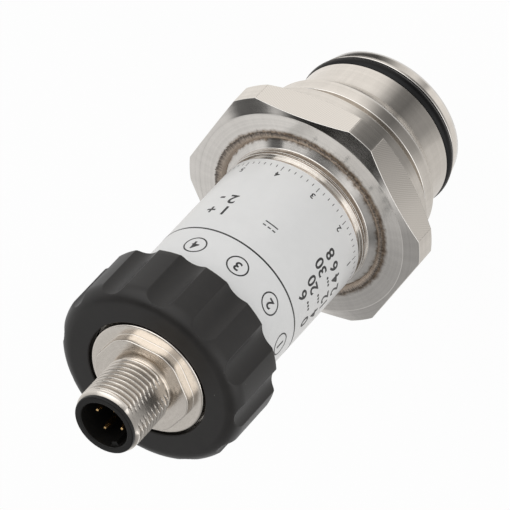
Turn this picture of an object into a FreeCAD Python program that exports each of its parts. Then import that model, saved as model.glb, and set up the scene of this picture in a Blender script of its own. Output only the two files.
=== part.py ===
# Pressure transmitter with a flush diaphragm, a round case and an M12 plug connector.
# Units are millimetres. The Z axis is the axis of the instrument: the flush process end
# stands on z = 0 and the connector points up. A pair of hex flats faces +X and -X.

import FreeCAD, Part
import math
import os
import Sketcher

doc = FreeCAD.newDocument("PressureTransmitter")
sheet = doc.addObject("Spreadsheet::Sheet", "Dimensions")

sizes = {
    # Process connection, from the process end upwards
    "barrelRadius": 14.7, "barrelHeight": 5.35, "lipStep": 0.25, "lipHeight": 2.9,
    "rimHeight": 0.6, "noseStep": 0.45, "noseRounding": 1.3,
    "ringGrooveWidth": 2.5, "ringGrooveDepth": 1.95,
    "coneReach": 2.0, "coneHeight": 2.9, "collarHeight": 2.55,
    "undercutDepth": 1.1, "undercutHeight": 2.7, "shoulderReach": 2.0, "shoulderHeight": 3.5,
    "hexAcross": 40.8, "hexCornerTrim": 1.256, "hexHeight": 6.3,
    "hexFaceChamfer": 2.55, "hexRearChamfer": 2.3, "hexFrontAngle": 20, "hexRearAngle": 30,
    "edgeBreak": 0.2,
    # Diaphragm and the fill-fluid passages behind it
    "diaphragmRim": 0.4, "diaphragmThickness": 0.3, "diaphragmRecess": 0.15,
    "diaphragmLedge": 0.6, "waveDepth": 0.12, "wavePitch": 1.8,
    "chamberDepth": 0.5, "capillaryRadius": 1.2, "cellRadius": 4.5, "cellDepth": 1.0,
    # Sensor header in its pocket
    "headerRadius": 8.2, "headerHeight": 3.5, "headerCapStep": 1.4, "headerCapHeight": 0.7,
    "headerDepth": 9.9, "sensorPinRadius": 0.3, "sensorPinCircle": 3.2, "sensorPinLength": 7.5,
    "chipWidth": 3.0, "chipHeight": 0.6, "fillHoleRadius": 0.45, "sealBallRadius": 0.8,
    # Case tube with its printed sleeve and its thread
    "tubeRadius": 13.35, "tubeWall": 1.05, "tubeHeight": 40.3, "labelThickness": 0.15,
    "labelMargin": 0.3, "labelReliefGap": 0.2, "threadStep": 0.35, "threadHeight": 5.6,
    "threadWall": 1.7, "threadReliefDepth": 0.4, "threadReliefHeight": 1.0,
    "threadChamfer": 0.3, "upperBoreHeight": 7.0,
    # Case neck and its weld
    "neckBandStep": 0.1, "neckBandHeight": 0.95, "neckFlangeReach": 1.55,
    "neckFlangeHeight": 1.6, "neckSeatDepth": 1.8, "neckSlopeHeight": 0.95,
    "neckGrooveDepth": 0.3, "neckGrooveHeight": 0.3, "neckRimHeight": 0.45,
    "neckWaistDepth": 0.55, "neckWaistHeight": 1.2, "neckSpigotHeight": 3.7,
    "neckWall": 1.8, "weldWidth": 1.6, "weldDepth": 0.8, "weldCrown": 0.22,
    # Electronics
    "boardThickness": 1.6, "boardClearance": 0.1, "carrierClearance": 0.1, "carrierWall": 1.6,
    "carrierHeight": 7.0, "carrierFloor": 0.5, "terminalThickness": 1.2, "terminalDepth": 6.3,
    "amplifierWidth": 7.0, "amplifierDepth": 1.4, "amplifierHeight": 7.0,
    "amplifierRise": 5.0,
    "converterWidth": 5.0, "converterDepth": 1.2, "converterHeight": 6.4,
    "converterInset": 5.7, "converterRise": 15.0,
    "driverWidth": 4.4, "driverDepth": 1.6, "driverHeight": 3.6,
    "driverGap": 0.7, "driverRise": 6.0,
    "capacitorRadius": 3.1, "capacitorLength": 5.4, "capacitorInset": 6.6, "capacitorRise": 20.0,
    "flexThickness": 0.25, "flexWidth": 7.2, "flexReach": 5.0, "flexBend": 1.5,
    "flexLap": 5.0, "flexGap": 1.1,
    "trimmerWidth": 4.8, "trimmerHeight": 2.6, "trimmerInset": 6.2, "trimmerScrewRadius": 1.4,
    "trimmerScrewProud": 0.2, "trimmerSlotWidth": 0.5,
    "trimmerSlotDepth": 0.6, "trimmerBoreDepth": 1.5, "runningClearance": 0.05,
    # Connector, from its seal upwards
    "sealHeight": 0.7, "baseStep": 0.1, "baseHeight": 1.3, "spigotHeight": 1.4,
    "discStep": 2.3, "discHeight": 2.25, "discChamfer": 0.25,
    "nutAcross": 16.8, "nutCornerTrim": 0.85, "nutHeight": 1.8,
    "connectorRadius": 6.0, "connectorHeight": 10.45, "connectorChamfer": 0.5,
    "connectorWall": 1.05, "insertFlangeReach": 1.55, "insertFlangeHeight": 1.6,
    "insertTailStep": 0.35, "insertTailHeight": 1.2, "insertLipStep": 0.45,
    "insertLipHeight": 0.7, "socketWall": 0.6, "socketDepth": 8.8, "socketBevel": 0.15,
    "keyWidth": 1.3, "keyReach": 0.65, "keyRecess": 0.6,
    "pinRadius": 0.5, "pinCircle": 2.5, "pinRecess": 1.7, "pinTip": 0.3, "cupRadius": 0.65,
    "cupHeight": 2.2, "cupProud": 1.0, "connectorTurn": -7.0, "pinTurn": 6.7,
    "wireRadius": 0.4, "wireBend": 1.2, "wireLead": 0.7, "padCircle": 6.0,
    # Union ring and the slip washer that it carries
    "washerThickness": 0.4, "washerClearance": 0.7, "ringHoleClearance": 0.5,
    "ringHeight": 12.3, "ringWall": 3.45, "ringShoulder": 2.7, "ringLip": 1.9,
    "skirtHeight": 2.2, "skirtClearance": 0.25, "threadClearance": 0.05, "ringEdge": 0.3,
    "fluteCount": 12, "fluteDepth": 1.0, "fluteRadius": 4.1, "fluteTurn": -6.3,
}
for row, (alias, number) in enumerate(sizes.items(), start=1):
    sheet.set(f"A{row}", alias)
    sheet.set(f"B{row}", str(number))
    sheet.setAlias(f"B{row}", alias)
doc.recompute()


class Size:
    # A number kept together with the sheet expression that gives it.
    def __init__(self, number, text):
        self.number = number
        self.text = text

    def __add__(self, other):
        return Size(self.number + number(other), f"({self.text} + {text(other)})")

    def __sub__(self, other):
        return Size(self.number - number(other), f"({self.text} - {text(other)})")

    def __mul__(self, other):
        return Size(self.number * number(other), f"({self.text} * {text(other)})")

    def __truediv__(self, other):
        return Size(self.number / number(other), f"({self.text} / {text(other)})")

    def __neg__(self):
        return Size(-self.number, f"(-{self.text})")


def number(size):
    return size.number if isinstance(size, Size) else size


def text(size):
    return size.text if isinstance(size, Size) else str(size)


def slope(run, degrees):
    # The rise of a chamfer that runs out by so much at so many degrees.
    rise = number(run) * math.tan(math.radians(number(degrees)))
    return Size(rise, f"({text(run)} * tan({text(degrees)} * 1 deg))")


class Dimensions:
    # dim.name is the sheet's cell of that name, as a Size.
    def __getattr__(self, alias):
        return Size(sizes[alias], f"Dimensions.{alias}")


dim = Dimensions()
zero = Size(0.0, "0")

# Radii that more than one piece shares.
lipRadius = dim.barrelRadius - dim.lipStep
noseRadius = lipRadius - dim.noseStep
diaphragmRadius = noseRadius - dim.noseRounding - dim.diaphragmRim
ringGrooveRadius = lipRadius - dim.ringGrooveDepth
collarRadius = dim.barrelRadius + dim.coneReach
shoulderRadius = collarRadius + dim.shoulderReach
cornerRatio = 1 / math.cos(math.radians(30))
hexCornerRadius = dim.hexAcross / 2 * cornerRatio - dim.hexCornerTrim
nutCornerRadius = dim.nutAcross / 2 * cornerRatio - dim.nutCornerTrim
tubeBore = dim.tubeRadius - dim.tubeWall
labelRadius = dim.tubeRadius + dim.labelThickness
threadRadius = dim.tubeRadius - dim.threadStep
upperBore = threadRadius - dim.threadWall
neckRadius = dim.tubeRadius + dim.neckBandStep
neckFlangeRadius = neckRadius + dim.neckFlangeReach
neckBore = tubeBore - dim.neckWall
boardHalf = upperBore - dim.boardClearance
trimmerOffset = boardHalf - dim.trimmerInset
baseRadius = threadRadius - dim.baseStep
discRadius = baseRadius - dim.discStep
insertRadius = dim.connectorRadius - dim.connectorWall
insertFlangeRadius = insertRadius + dim.insertFlangeReach

# Heights that more than one piece shares.
grooveTop = dim.lipHeight + dim.ringGrooveWidth
barrelTop = grooveTop + dim.barrelHeight
coneTop = barrelTop + dim.coneHeight
collarTop = coneTop + dim.collarHeight
undercutTop = collarTop + dim.undercutHeight
hexRear = undercutTop + dim.shoulderHeight
hexFace = hexRear + dim.hexHeight
neckSeat = hexFace - dim.neckSeatDepth
weldRoot = hexFace - dim.weldDepth
flangeTop = neckSeat + dim.neckFlangeHeight
bandBottom = flangeTop + dim.neckSlopeHeight
bandTop = bandBottom + dim.neckBandHeight
rimBottom = bandTop + dim.neckGrooveHeight
rimTop = rimBottom + dim.neckRimHeight
tubeSeat = rimTop + dim.neckWaistHeight
spigotTop = tubeSeat + dim.neckSpigotHeight
tubeTop = tubeSeat + dim.tubeHeight
baseBottom = tubeTop + dim.sealHeight
baseTop = baseBottom + dim.baseHeight
discTop = baseTop + dim.discHeight
nutTop = discTop + dim.nutHeight
shellTop = nutTop + dim.connectorHeight
connectorTop = shellTop + dim.insertLipHeight
socketFloor = connectorTop - dim.socketDepth
insertShoulder = baseTop + dim.insertFlangeHeight
tailBottom = baseTop - dim.insertTailHeight
cupBottom = tailBottom - dim.cupProud
washerTop = baseTop + dim.washerThickness
ringTop = washerTop + dim.ringLip
ringBottom = ringTop - dim.ringHeight
boardTop = tubeTop - dim.terminalDepth
terminalTop = boardTop + dim.terminalThickness
boardBottom = spigotTop + dim.carrierFloor
headerSeat = neckSeat - dim.headerDepth
headerTop = headerSeat + dim.headerHeight + dim.headerCapHeight


def newBody(label):
    body = doc.addObject("PartDesign::Body", label)
    body.Label = label
    return body


def originFeature(body, role):
    return next(item for item in body.Origin.OriginFeatures if item.Role == role)


def newSketch(body, name, plane, height=None):
    sketch = body.newObject("Sketcher::SketchObject", name)
    sketch.AttachmentSupport = [(originFeature(body, plane), "")]
    sketch.MapMode = "FlatFace"
    if height is not None:
        sketch.setExpression("AttachmentOffset.Base.z", text(height))
    return sketch


def bind(sketch, kind, elements, size):
    index = sketch.addConstraint(Sketcher.Constraint(kind, *elements, number(size)))
    sketch.setExpression(f"Constraints[{index}]", text(size))


def placePoint(sketch, geometry, end, across, up):
    # Ties one end of a line or an arc to its two coordinates.
    if number(across) == 0:
        sketch.addConstraint(Sketcher.Constraint("PointOnObject", geometry, end, -2))
    else:
        bind(sketch, "DistanceX", (-1, 1, geometry, end), across)
    if number(up) == 0:
        sketch.addConstraint(Sketcher.Constraint("PointOnObject", geometry, end, -1))
    else:
        bind(sketch, "DistanceY", (-1, 1, geometry, end), up)


def arcBetween(start, end, radius):
    # An arc from start to end. A positive radius turns left on the way, a negative one right.
    middle = (start + end) * 0.5
    chord = end - start
    sag = math.sqrt(max(radius * radius - chord.Length * chord.Length / 4, 0))
    left = FreeCAD.Vector(-chord.y, chord.x, 0).normalize()
    side = 1 if radius > 0 else -1
    centre = middle + left * sag * side
    circle = Part.Circle(centre, FreeCAD.Vector(0, 0, 1), abs(radius))
    first = math.atan2(start.y - centre.y, start.x - centre.x)
    last = math.atan2(end.y - centre.y, end.x - centre.x)
    return Part.ArcOfCircle(circle, first, last) if radius > 0 else Part.ArcOfCircle(circle, last, first)


def drawOutline(sketch, points, closed=True):
    # A line of stretches. Each point is (across, up) or (across, up, radius), where the radius
    # bends the stretch that leads on from the point: positive to the left, negative to the right.
    count = len(points)
    stretches = count if closed else count - 1
    ends = []
    for index, point in enumerate(points[:stretches]):
        following = points[(index + 1) % count]
        start = FreeCAD.Vector(number(point[0]), number(point[1]), 0)
        end = FreeCAD.Vector(number(following[0]), number(following[1]), 0)
        if len(point) == 3:
            sketch.addGeometry(arcBetween(start, end, number(point[2])))
            ends.append((1, 2) if number(point[2]) > 0 else (2, 1))
        else:
            sketch.addGeometry(Part.LineSegment(start, end))
            ends.append((1, 2))
    for index, point in enumerate(points[:stretches]):
        placePoint(sketch, index, ends[index][0], point[0], point[1])
        if closed or index + 1 < stretches:
            following = (index + 1) % stretches
            sketch.addConstraint(Sketcher.Constraint(
                "Coincident", index, ends[index][1], following, ends[following][0]))
        else:
            placePoint(sketch, index, ends[index][1], points[-1][0], points[-1][1])
    for index, point in enumerate(points[:stretches]):
        if len(point) == 3:
            radius = point[2] if number(point[2]) > 0 else -point[2]
            bind(sketch, "Radius", (index,), radius)


def drawCircle(sketch, across, up, radius):
    centre = FreeCAD.Vector(number(across), number(up), 0)
    index = sketch.addGeometry(Part.Circle(centre, FreeCAD.Vector(0, 0, 1), number(radius)))
    placePoint(sketch, index, 3, across, up)
    bind(sketch, "Radius", (index,), radius)


def drawBox(sketch, left, right, bottom, top):
    drawOutline(sketch, [(left, bottom), (right, bottom), (right, top), (left, top)])


def revolve(body, points, name="Profile"):
    # A full turn of a half section, given as (radius, height) points.
    sketch = newSketch(body, body.Name + name, "XZ_Plane")
    drawOutline(sketch, points)
    feature = body.newObject("PartDesign::Revolution", body.Name + "Revolution")
    feature.Profile = sketch
    feature.ReferenceAxis = (sketch, ["V_Axis"])
    feature.Angle = 360
    sketch.Visibility = False
    doc.recompute()
    return feature


def pad(body, sketch, length):
    feature = body.newObject("PartDesign::Pad", sketch.Name + "Pad")
    feature.Profile = sketch
    feature.setExpression("Length", text(length))
    doc.recompute()
    return feature


def pocket(body, sketch, depth):
    # Cuts upwards from the sketch's plane, and makes sure that it has cut something.
    before = body.Shape.Volume
    feature = body.newObject("PartDesign::Pocket", sketch.Name + "Pocket")
    feature.Profile = sketch
    feature.Reversed = True
    feature.setExpression("Length", text(depth))
    doc.recompute()
    if not body.Shape.Volume < before:
        raise RuntimeError(f"{sketch.Name} cuts nothing")
    return feature


def polar(body, feature, count):
    pattern = body.newObject("PartDesign::PolarPattern", feature.Name + "Pattern")
    pattern.Originals = [feature]
    pattern.Axis = (originFeature(body, "Z_Axis"), [""])
    pattern.Angle = 360
    pattern.setExpression("Occurrences", text(count))
    body.Tip = pattern
    doc.recompute()
    return pattern


def millFlats(body, across, outside, bottom, height):
    # Six flats milled on a turned collar, each as one cut that a pattern repeats.
    sketch = newSketch(body, body.Name + "Flat", "XY_Plane", bottom)
    drawBox(sketch, across / 2, outside * 1.2, -outside, outside)
    polar(body, pocket(body, sketch, height), Size(6, "6"))


def turn(item, degrees):
    item.Placement = FreeCAD.Placement(
        FreeCAD.Vector(), FreeCAD.Rotation(FreeCAD.Vector(0, 0, 1), number(degrees)))
    item.setExpression("Placement.Rotation.Angle", f"{text(degrees)} * 1 deg")


# Process connection: one turned and milled piece from the flush nose to the hex.
process = newBody("process_connection")
frontCorner = hexFace - slope(dim.hexFaceChamfer, dim.hexFrontAngle)
rearCorner = hexRear + slope(dim.hexRearChamfer, dim.hexRearAngle)
membraneTop = dim.diaphragmRecess + dim.diaphragmThickness
chamberTop = membraneTop + dim.chamberDepth
ledgeRadius = diaphragmRadius - dim.diaphragmLedge
revolve(process, [
    (diaphragmRadius, zero),
    (noseRadius - dim.noseRounding, zero, dim.noseRounding),
    (noseRadius, dim.noseRounding),
    (noseRadius, dim.lipHeight - dim.rimHeight),
    (lipRadius, dim.lipHeight - dim.rimHeight),
    (lipRadius, dim.lipHeight),
    (ringGrooveRadius, dim.lipHeight),
    (ringGrooveRadius, grooveTop),
    (dim.barrelRadius - dim.edgeBreak, grooveTop),
    (dim.barrelRadius, grooveTop + dim.edgeBreak),
    (dim.barrelRadius, barrelTop),
    (collarRadius, coneTop),
    (collarRadius, collarTop - dim.edgeBreak),
    (collarRadius - dim.edgeBreak, collarTop),
    (collarRadius - dim.undercutDepth, collarTop),
    (collarRadius - dim.undercutDepth, undercutTop),
    (shoulderRadius - dim.edgeBreak, undercutTop),
    (shoulderRadius, undercutTop + dim.edgeBreak),
    (shoulderRadius, hexRear),
    (hexCornerRadius - dim.hexRearChamfer, hexRear),
    (hexCornerRadius, rearCorner),
    (hexCornerRadius, frontCorner),
    (hexCornerRadius - dim.hexFaceChamfer, hexFace),
    (neckFlangeRadius + dim.weldWidth, hexFace),
    (neckFlangeRadius, weldRoot),
    (neckFlangeRadius, neckSeat),
    (dim.headerRadius, neckSeat),
    (dim.headerRadius, headerSeat),
    (dim.cellRadius, headerSeat),
    (dim.cellRadius, headerSeat - dim.cellDepth),
    (dim.capillaryRadius, headerSeat - dim.cellDepth),
    (dim.capillaryRadius, chamberTop),
    (ledgeRadius, chamberTop),
    (ledgeRadius, membraneTop),
    (diaphragmRadius, membraneTop),
])
millFlats(process, dim.hexAcross, hexCornerRadius, hexRear, dim.hexHeight)

# Diaphragm: a thin disc with concentric waves, welded flush in the process end.
diaphragm = newBody("diaphragm")
waveCount = int(number(ledgeRadius / dim.wavePitch)) - 1
under = [(zero, dim.diaphragmRecess)]
for wave in range(1, waveCount + 1):
    centre = dim.wavePitch * wave
    quarter = dim.wavePitch / 4
    under.append((centre - quarter, dim.diaphragmRecess))
    under.append((centre, dim.diaphragmRecess + dim.waveDepth))
    under.append((centre + quarter, dim.diaphragmRecess))
under.append((diaphragmRadius, dim.diaphragmRecess))
over = [(radius, height + dim.diaphragmThickness) for radius, height in reversed(under)]
revolve(diaphragm, under + over)

# Sealing ring in the groove behind the lip.
processRing = doc.addObject("Part::Torus", "process_ring")
processRing.Label = "process_o_ring"
sectionRadius = dim.ringGrooveWidth / 2 - dim.runningClearance
processRing.setExpression("Radius1", text(ringGrooveRadius + sectionRadius))
processRing.setExpression("Radius2", text(sectionRadius))
processRing.setExpression("Placement.Base.z", text(dim.lipHeight + dim.ringGrooveWidth / 2))

# Sensor header with its fill hole and four sealed pins.
header = newBody("sensor_header")
revolve(header, [
    (zero, headerSeat),
    (dim.headerRadius, headerSeat),
    (dim.headerRadius, headerSeat + dim.headerHeight),
    (dim.headerRadius - dim.headerCapStep, headerSeat + dim.headerHeight),
    (dim.headerRadius - dim.headerCapStep, headerTop),
    (zero, headerTop),
])
pinHole = newSketch(header, "HeaderPinHole", "XY_Plane", headerSeat)
drawCircle(pinHole, dim.sensorPinCircle, zero, dim.sensorPinRadius)
polar(header, pocket(header, pinHole, dim.headerHeight + dim.headerCapHeight), Size(4, "4"))
fillCircle = dim.sensorPinCircle * math.sqrt(0.5)
fillHole = newSketch(header, "HeaderFillHole", "XY_Plane", headerSeat)
drawCircle(fillHole, fillCircle, fillCircle, dim.fillHoleRadius)
pocket(header, fillHole, dim.headerHeight + dim.headerCapHeight)
ballSeat = newSketch(header, "HeaderBallSeat", "XY_Plane", headerTop - dim.sealBallRadius)
drawCircle(ballSeat, fillCircle, fillCircle, dim.sealBallRadius)
pocket(header, ballSeat, dim.sealBallRadius)


def rotated(across, degrees):
    # The x and y of a point on the +X side once it is turned about the axis.
    angle = f"{text(degrees)} * 1 deg"
    cosine = math.cos(math.radians(number(degrees)))
    sine = math.sin(math.radians(number(degrees)))
    return (Size(number(across) * cosine, f"({text(across)} * cos({angle}))"),
            Size(number(across) * sine, f"({text(across)} * sin({angle}))"))


def place(item, across, depth, up):
    item.setExpression("Placement.Base.x", text(across))
    item.setExpression("Placement.Base.y", text(depth))
    item.setExpression("Placement.Base.z", text(up))


def cylinder(label, radius, height, across, depth, up):
    item = doc.addObject("Part::Cylinder", label)
    item.Label = label
    item.setExpression("Radius", text(radius))
    item.setExpression("Height", text(height))
    place(item, across, depth, up)
    return item


def block(label, width, depth, height, left, front, bottom):
    item = doc.addObject("Part::Box", label)
    item.Label = label
    item.setExpression("Length", text(width))
    item.setExpression("Width", text(depth))
    item.setExpression("Height", text(height))
    place(item, left, front, bottom)
    return item


ball = doc.addObject("Part::Sphere", "seal_ball")
ball.Label = "seal_ball"
ball.setExpression("Radius", text(dim.sealBallRadius))
place(ball, fillCircle, fillCircle, headerTop)

sensorPins = []
for index in range(4):
    across, depth = rotated(dim.sensorPinCircle, 90 * index)
    sensorPins.append(cylinder(f"sensor_pin_{index + 1}", dim.sensorPinRadius,
                               dim.sensorPinLength, across, depth,
                               headerSeat - dim.chipHeight))

chip = block("sensor_chip", dim.chipWidth, dim.chipWidth, dim.chipHeight,
             -dim.chipWidth / 2, -dim.chipWidth / 2, headerSeat - dim.chipHeight)

# Case neck: a flange let into the hex face, two turned bands and a spigot for the tube.
neck = newBody("case_neck")
revolve(neck, [
    (neckBore, neckSeat),
    (neckFlangeRadius, neckSeat),
    (neckFlangeRadius, flangeTop),
    (neckRadius, bandBottom),
    (neckRadius, bandTop),
    (neckRadius - dim.neckGrooveDepth, bandTop),
    (neckRadius - dim.neckGrooveDepth, rimBottom),
    (neckRadius, rimBottom),
    (neckRadius, rimTop),
    (neckRadius - dim.neckWaistDepth, rimTop),
    (neckRadius - dim.neckWaistDepth, tubeSeat),
    (tubeBore, tubeSeat),
    (tubeBore, spigotTop),
    (neckBore, spigotTop),
])

# Weld between the hex face and the neck's flange.
weld = newBody("weld_bead")
weldOuter = neckFlangeRadius + dim.weldWidth
crownRadius = dim.weldWidth * dim.weldWidth / (dim.weldCrown * 8) + dim.weldCrown / 2
revolve(weld, [
    (neckFlangeRadius, weldRoot),
    (weldOuter, hexFace, crownRadius),
    (neckFlangeRadius, flangeTop),
])

# Case tube: plain under its label, threaded at the top for the union ring.
tube = newBody("case_tube")
threadBottom = tubeTop - dim.threadHeight
reliefBottom = threadBottom - dim.threadReliefHeight
upperBoreBottom = tubeTop - dim.upperBoreHeight
revolve(tube, [
    (tubeBore, tubeSeat),
    (dim.tubeRadius, tubeSeat),
    (dim.tubeRadius, reliefBottom),
    (threadRadius - dim.threadReliefDepth, reliefBottom),
    (threadRadius - dim.threadReliefDepth, threadBottom),
    (threadRadius, threadBottom),
    (threadRadius, tubeTop - dim.threadChamfer),
    (threadRadius - dim.threadChamfer, tubeTop),
    (upperBore, tubeTop),
    (upperBore, upperBoreBottom),
    (tubeBore, upperBoreBottom),
])

label = newBody("label_sleeve")
labelBottom = tubeSeat + dim.labelMargin
labelTop = reliefBottom - dim.labelReliefGap
revolve(label, [
    (dim.tubeRadius, labelBottom),
    (labelRadius, labelBottom),
    (labelRadius, labelTop),
    (dim.tubeRadius, labelTop),
])

# Electronics: the upright board stands in a slotted carrier on the neck's spigot.
carrier = newBody("board_carrier")
carrierRadius = tubeBore - dim.carrierClearance
revolve(carrier, [
    (carrierRadius - dim.carrierWall, spigotTop),
    (carrierRadius, spigotTop),
    (carrierRadius, spigotTop + dim.carrierHeight),
    (carrierRadius - dim.carrierWall, spigotTop + dim.carrierHeight),
])
slot = newSketch(carrier, "CarrierSlot", "XY_Plane", boardBottom)
drawBox(slot, -boardHalf, boardHalf, -dim.boardThickness / 2, dim.boardThickness / 2)
pocket(carrier, slot, dim.carrierHeight - dim.carrierFloor)

mainBoard = block("main_board", boardHalf * 2, dim.boardThickness, boardTop - boardBottom,
                  -boardHalf, -dim.boardThickness / 2, boardBottom)

boardFront = -dim.boardThickness / 2
for name, width, depth, height, across, rise in (
    ("amplifier_chip", dim.amplifierWidth, dim.amplifierDepth, dim.amplifierHeight,
     zero, dim.amplifierRise),
    ("converter_chip", dim.converterWidth, dim.converterDepth, dim.converterHeight,
     dim.converterInset - boardHalf, dim.converterRise),
    ("driver_chip", dim.driverWidth, dim.driverDepth, dim.driverHeight,
     (dim.amplifierWidth + dim.driverWidth) / 2 + dim.driverGap, dim.driverRise),
):
    block(name, width, depth, height,
          across - width / 2, boardFront - depth, boardBottom + rise)

capacitor = cylinder("smoothing_capacitor", dim.capacitorRadius, dim.capacitorLength,
                     boardHalf - dim.capacitorInset, boardFront, boardBottom + dim.capacitorRise)
capacitor.Placement.Rotation = FreeCAD.Rotation(FreeCAD.Vector(1, 0, 0), 90)

terminal = newBody("terminal_board")
disc = newSketch(terminal, "TerminalDisc", "XY_Plane", boardTop)
drawCircle(disc, zero, zero, boardHalf)
pad(terminal, disc, dim.terminalThickness)
for index in range(4):
    hole = newSketch(terminal, f"TerminalHole{index + 1}", "XY_Plane", boardTop)
    across, depth = rotated(dim.padCircle, dim.pinTurn + 90 * index)
    drawCircle(hole, across, depth, dim.wireRadius)
    pocket(terminal, hole, dim.terminalThickness)

# Flexible strip from the header's pins up to the board.
flex = newBody("sensor_flex")
strip = newSketch(flex, "FlexSide", "YZ_Plane")
flexUnder = headerTop + dim.flexGap
flexInner = dim.flexReach - dim.flexThickness
boardBack = dim.boardThickness / 2
bendOuter = dim.flexBend + dim.flexThickness
lapBottom = boardBottom + dim.flexGap
drawOutline(strip, [
    (-dim.flexReach, flexUnder),
    (dim.flexReach - bendOuter, flexUnder, bendOuter),
    (dim.flexReach, flexUnder + bendOuter),
    (dim.flexReach, lapBottom - dim.flexReach),
    (boardBack + dim.flexThickness, lapBottom),
    (boardBack + dim.flexThickness, lapBottom + dim.flexLap),
    (boardBack, lapBottom + dim.flexLap),
    (boardBack, lapBottom - dim.flexThickness / 2),
    (flexInner, lapBottom - dim.flexReach - dim.flexThickness / 2),
    (flexInner, flexUnder + bendOuter, -dim.flexBend),
    (flexInner - dim.flexBend, flexUnder + dim.flexThickness),
    (-dim.flexReach, flexUnder + dim.flexThickness),
])
flexPad = pad(flex, strip, dim.flexWidth)
flexPad.SideType = "Symmetric"
doc.recompute()
flexHole = newSketch(flex, "FlexPinHole", "XY_Plane", flexUnder)
drawCircle(flexHole, dim.sensorPinCircle, zero, dim.sensorPinRadius)
polar(flex, pocket(flex, flexHole, dim.flexThickness), Size(4, "4"))

# Zero and span trimmers on the terminal board, each with a screw that turns in its bore.
for name, side in (("zero", -1), ("span", 1)):
    trimmer = newBody(f"{name}_trimmer")
    outline = newSketch(trimmer, trimmer.Name + "Outline", "XY_Plane")
    half = dim.trimmerWidth / 2
    drawBox(outline, -half, half, -half, half)
    pad(trimmer, outline, dim.trimmerHeight)
    bore = newSketch(trimmer, trimmer.Name + "Bore", "XY_Plane",
                     dim.trimmerHeight - dim.trimmerBoreDepth)
    drawCircle(bore, zero, zero, dim.trimmerScrewRadius + dim.runningClearance)
    pocket(trimmer, bore, dim.trimmerBoreDepth)
    place(trimmer, trimmerOffset * side, -trimmerOffset, terminalTop)

    screw = newBody(f"{name}_trimmer_screw")
    face = newSketch(screw, screw.Name + "Face", "XY_Plane")
    drawCircle(face, zero, zero, dim.trimmerScrewRadius)
    screwHeight = dim.trimmerBoreDepth + dim.trimmerScrewProud
    pad(screw, face, screwHeight)
    slot = newSketch(screw, screw.Name + "Slot", "XY_Plane", screwHeight - dim.trimmerSlotDepth)
    drawBox(slot, -dim.trimmerScrewRadius, dim.trimmerScrewRadius,
            -dim.trimmerSlotWidth / 2, dim.trimmerSlotWidth / 2)
    pocket(screw, slot, dim.trimmerSlotDepth)
    place(screw, trimmerOffset * side, -trimmerOffset,
          terminalTop + dim.trimmerHeight - dim.trimmerBoreDepth)

# Connector: the seal on the tube's end face, the metal shell and the insert moulded in it.
seal = newBody("case_seal")
revolve(seal, [
    (upperBore, tubeTop),
    (baseRadius, tubeTop),
    (baseRadius, baseBottom),
    (upperBore, baseBottom),
])

shell = newBody("connector_shell")
revolve(shell, [
    (insertFlangeRadius, baseBottom - dim.spigotHeight),
    (boardHalf, baseBottom - dim.spigotHeight),
    (boardHalf, baseBottom),
    (baseRadius, baseBottom),
    (baseRadius, baseTop),
    (discRadius, baseTop),
    (discRadius, discTop - dim.discChamfer),
    (discRadius - dim.discChamfer, discTop),
    (nutCornerRadius, discTop),
    (nutCornerRadius, nutTop),
    (dim.connectorRadius, nutTop),
    (dim.connectorRadius, shellTop - dim.connectorChamfer),
    (dim.connectorRadius - dim.connectorChamfer, shellTop),
    (insertRadius, shellTop),
    (insertRadius, insertShoulder),
    (insertFlangeRadius, insertShoulder),
])
millFlats(shell, dim.nutAcross, nutCornerRadius, discTop, dim.nutHeight)
turn(shell, dim.connectorTurn)

insert = newBody("connector_insert")
lipRim = dim.connectorRadius - dim.insertLipStep
socketRadius = insertRadius - dim.socketWall
revolve(insert, [
    (zero, tailBottom),
    (insertRadius - dim.insertTailStep, tailBottom),
    (insertRadius - dim.insertTailStep, baseTop),
    (insertFlangeRadius, baseTop),
    (insertFlangeRadius, insertShoulder),
    (insertRadius, insertShoulder),
    (insertRadius, shellTop),
    (lipRim, shellTop),
    (lipRim, connectorTop - dim.edgeBreak),
    (lipRim - dim.edgeBreak, connectorTop),
    (socketRadius + dim.socketBevel, connectorTop),
    (socketRadius, connectorTop - dim.socketBevel),
    (socketRadius, socketFloor),
    (zero, socketFloor),
])
cupHole = newSketch(insert, "InsertCupHole", "XY_Plane", tailBottom)
drawCircle(cupHole, dim.pinCircle, zero, dim.cupRadius)
polar(insert, pocket(insert, cupHole, cupBottom + dim.cupHeight - tailBottom), Size(4, "4"))
pinHole = newSketch(insert, "InsertPinHole", "XY_Plane", cupBottom + dim.cupHeight)
drawCircle(pinHole, dim.pinCircle, zero, dim.pinRadius)
polar(insert, pocket(insert, pinHole, socketFloor - cupBottom - dim.cupHeight), Size(4, "4"))
# The key stands between two pins, along the -X side once it is turned back by 45 degrees.
key = newSketch(insert, "InsertKey", "XY_Plane", socketFloor)
keyInner = socketRadius - dim.keyReach
keyOuter = (socketRadius + insertRadius) / 2
halfKey = dim.keyWidth / 2
diagonal = math.sqrt(0.5)
drawOutline(key, [
    (-(keyInner - halfKey) * diagonal, (keyInner + halfKey) * diagonal),
    (-(keyInner + halfKey) * diagonal, (keyInner - halfKey) * diagonal),
    (-(keyOuter + halfKey) * diagonal, (keyOuter - halfKey) * diagonal),
    (-(keyOuter - halfKey) * diagonal, (keyOuter + halfKey) * diagonal),
])
pad(insert, key, dim.socketDepth - dim.keyRecess)
turn(insert, dim.pinTurn)

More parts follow.
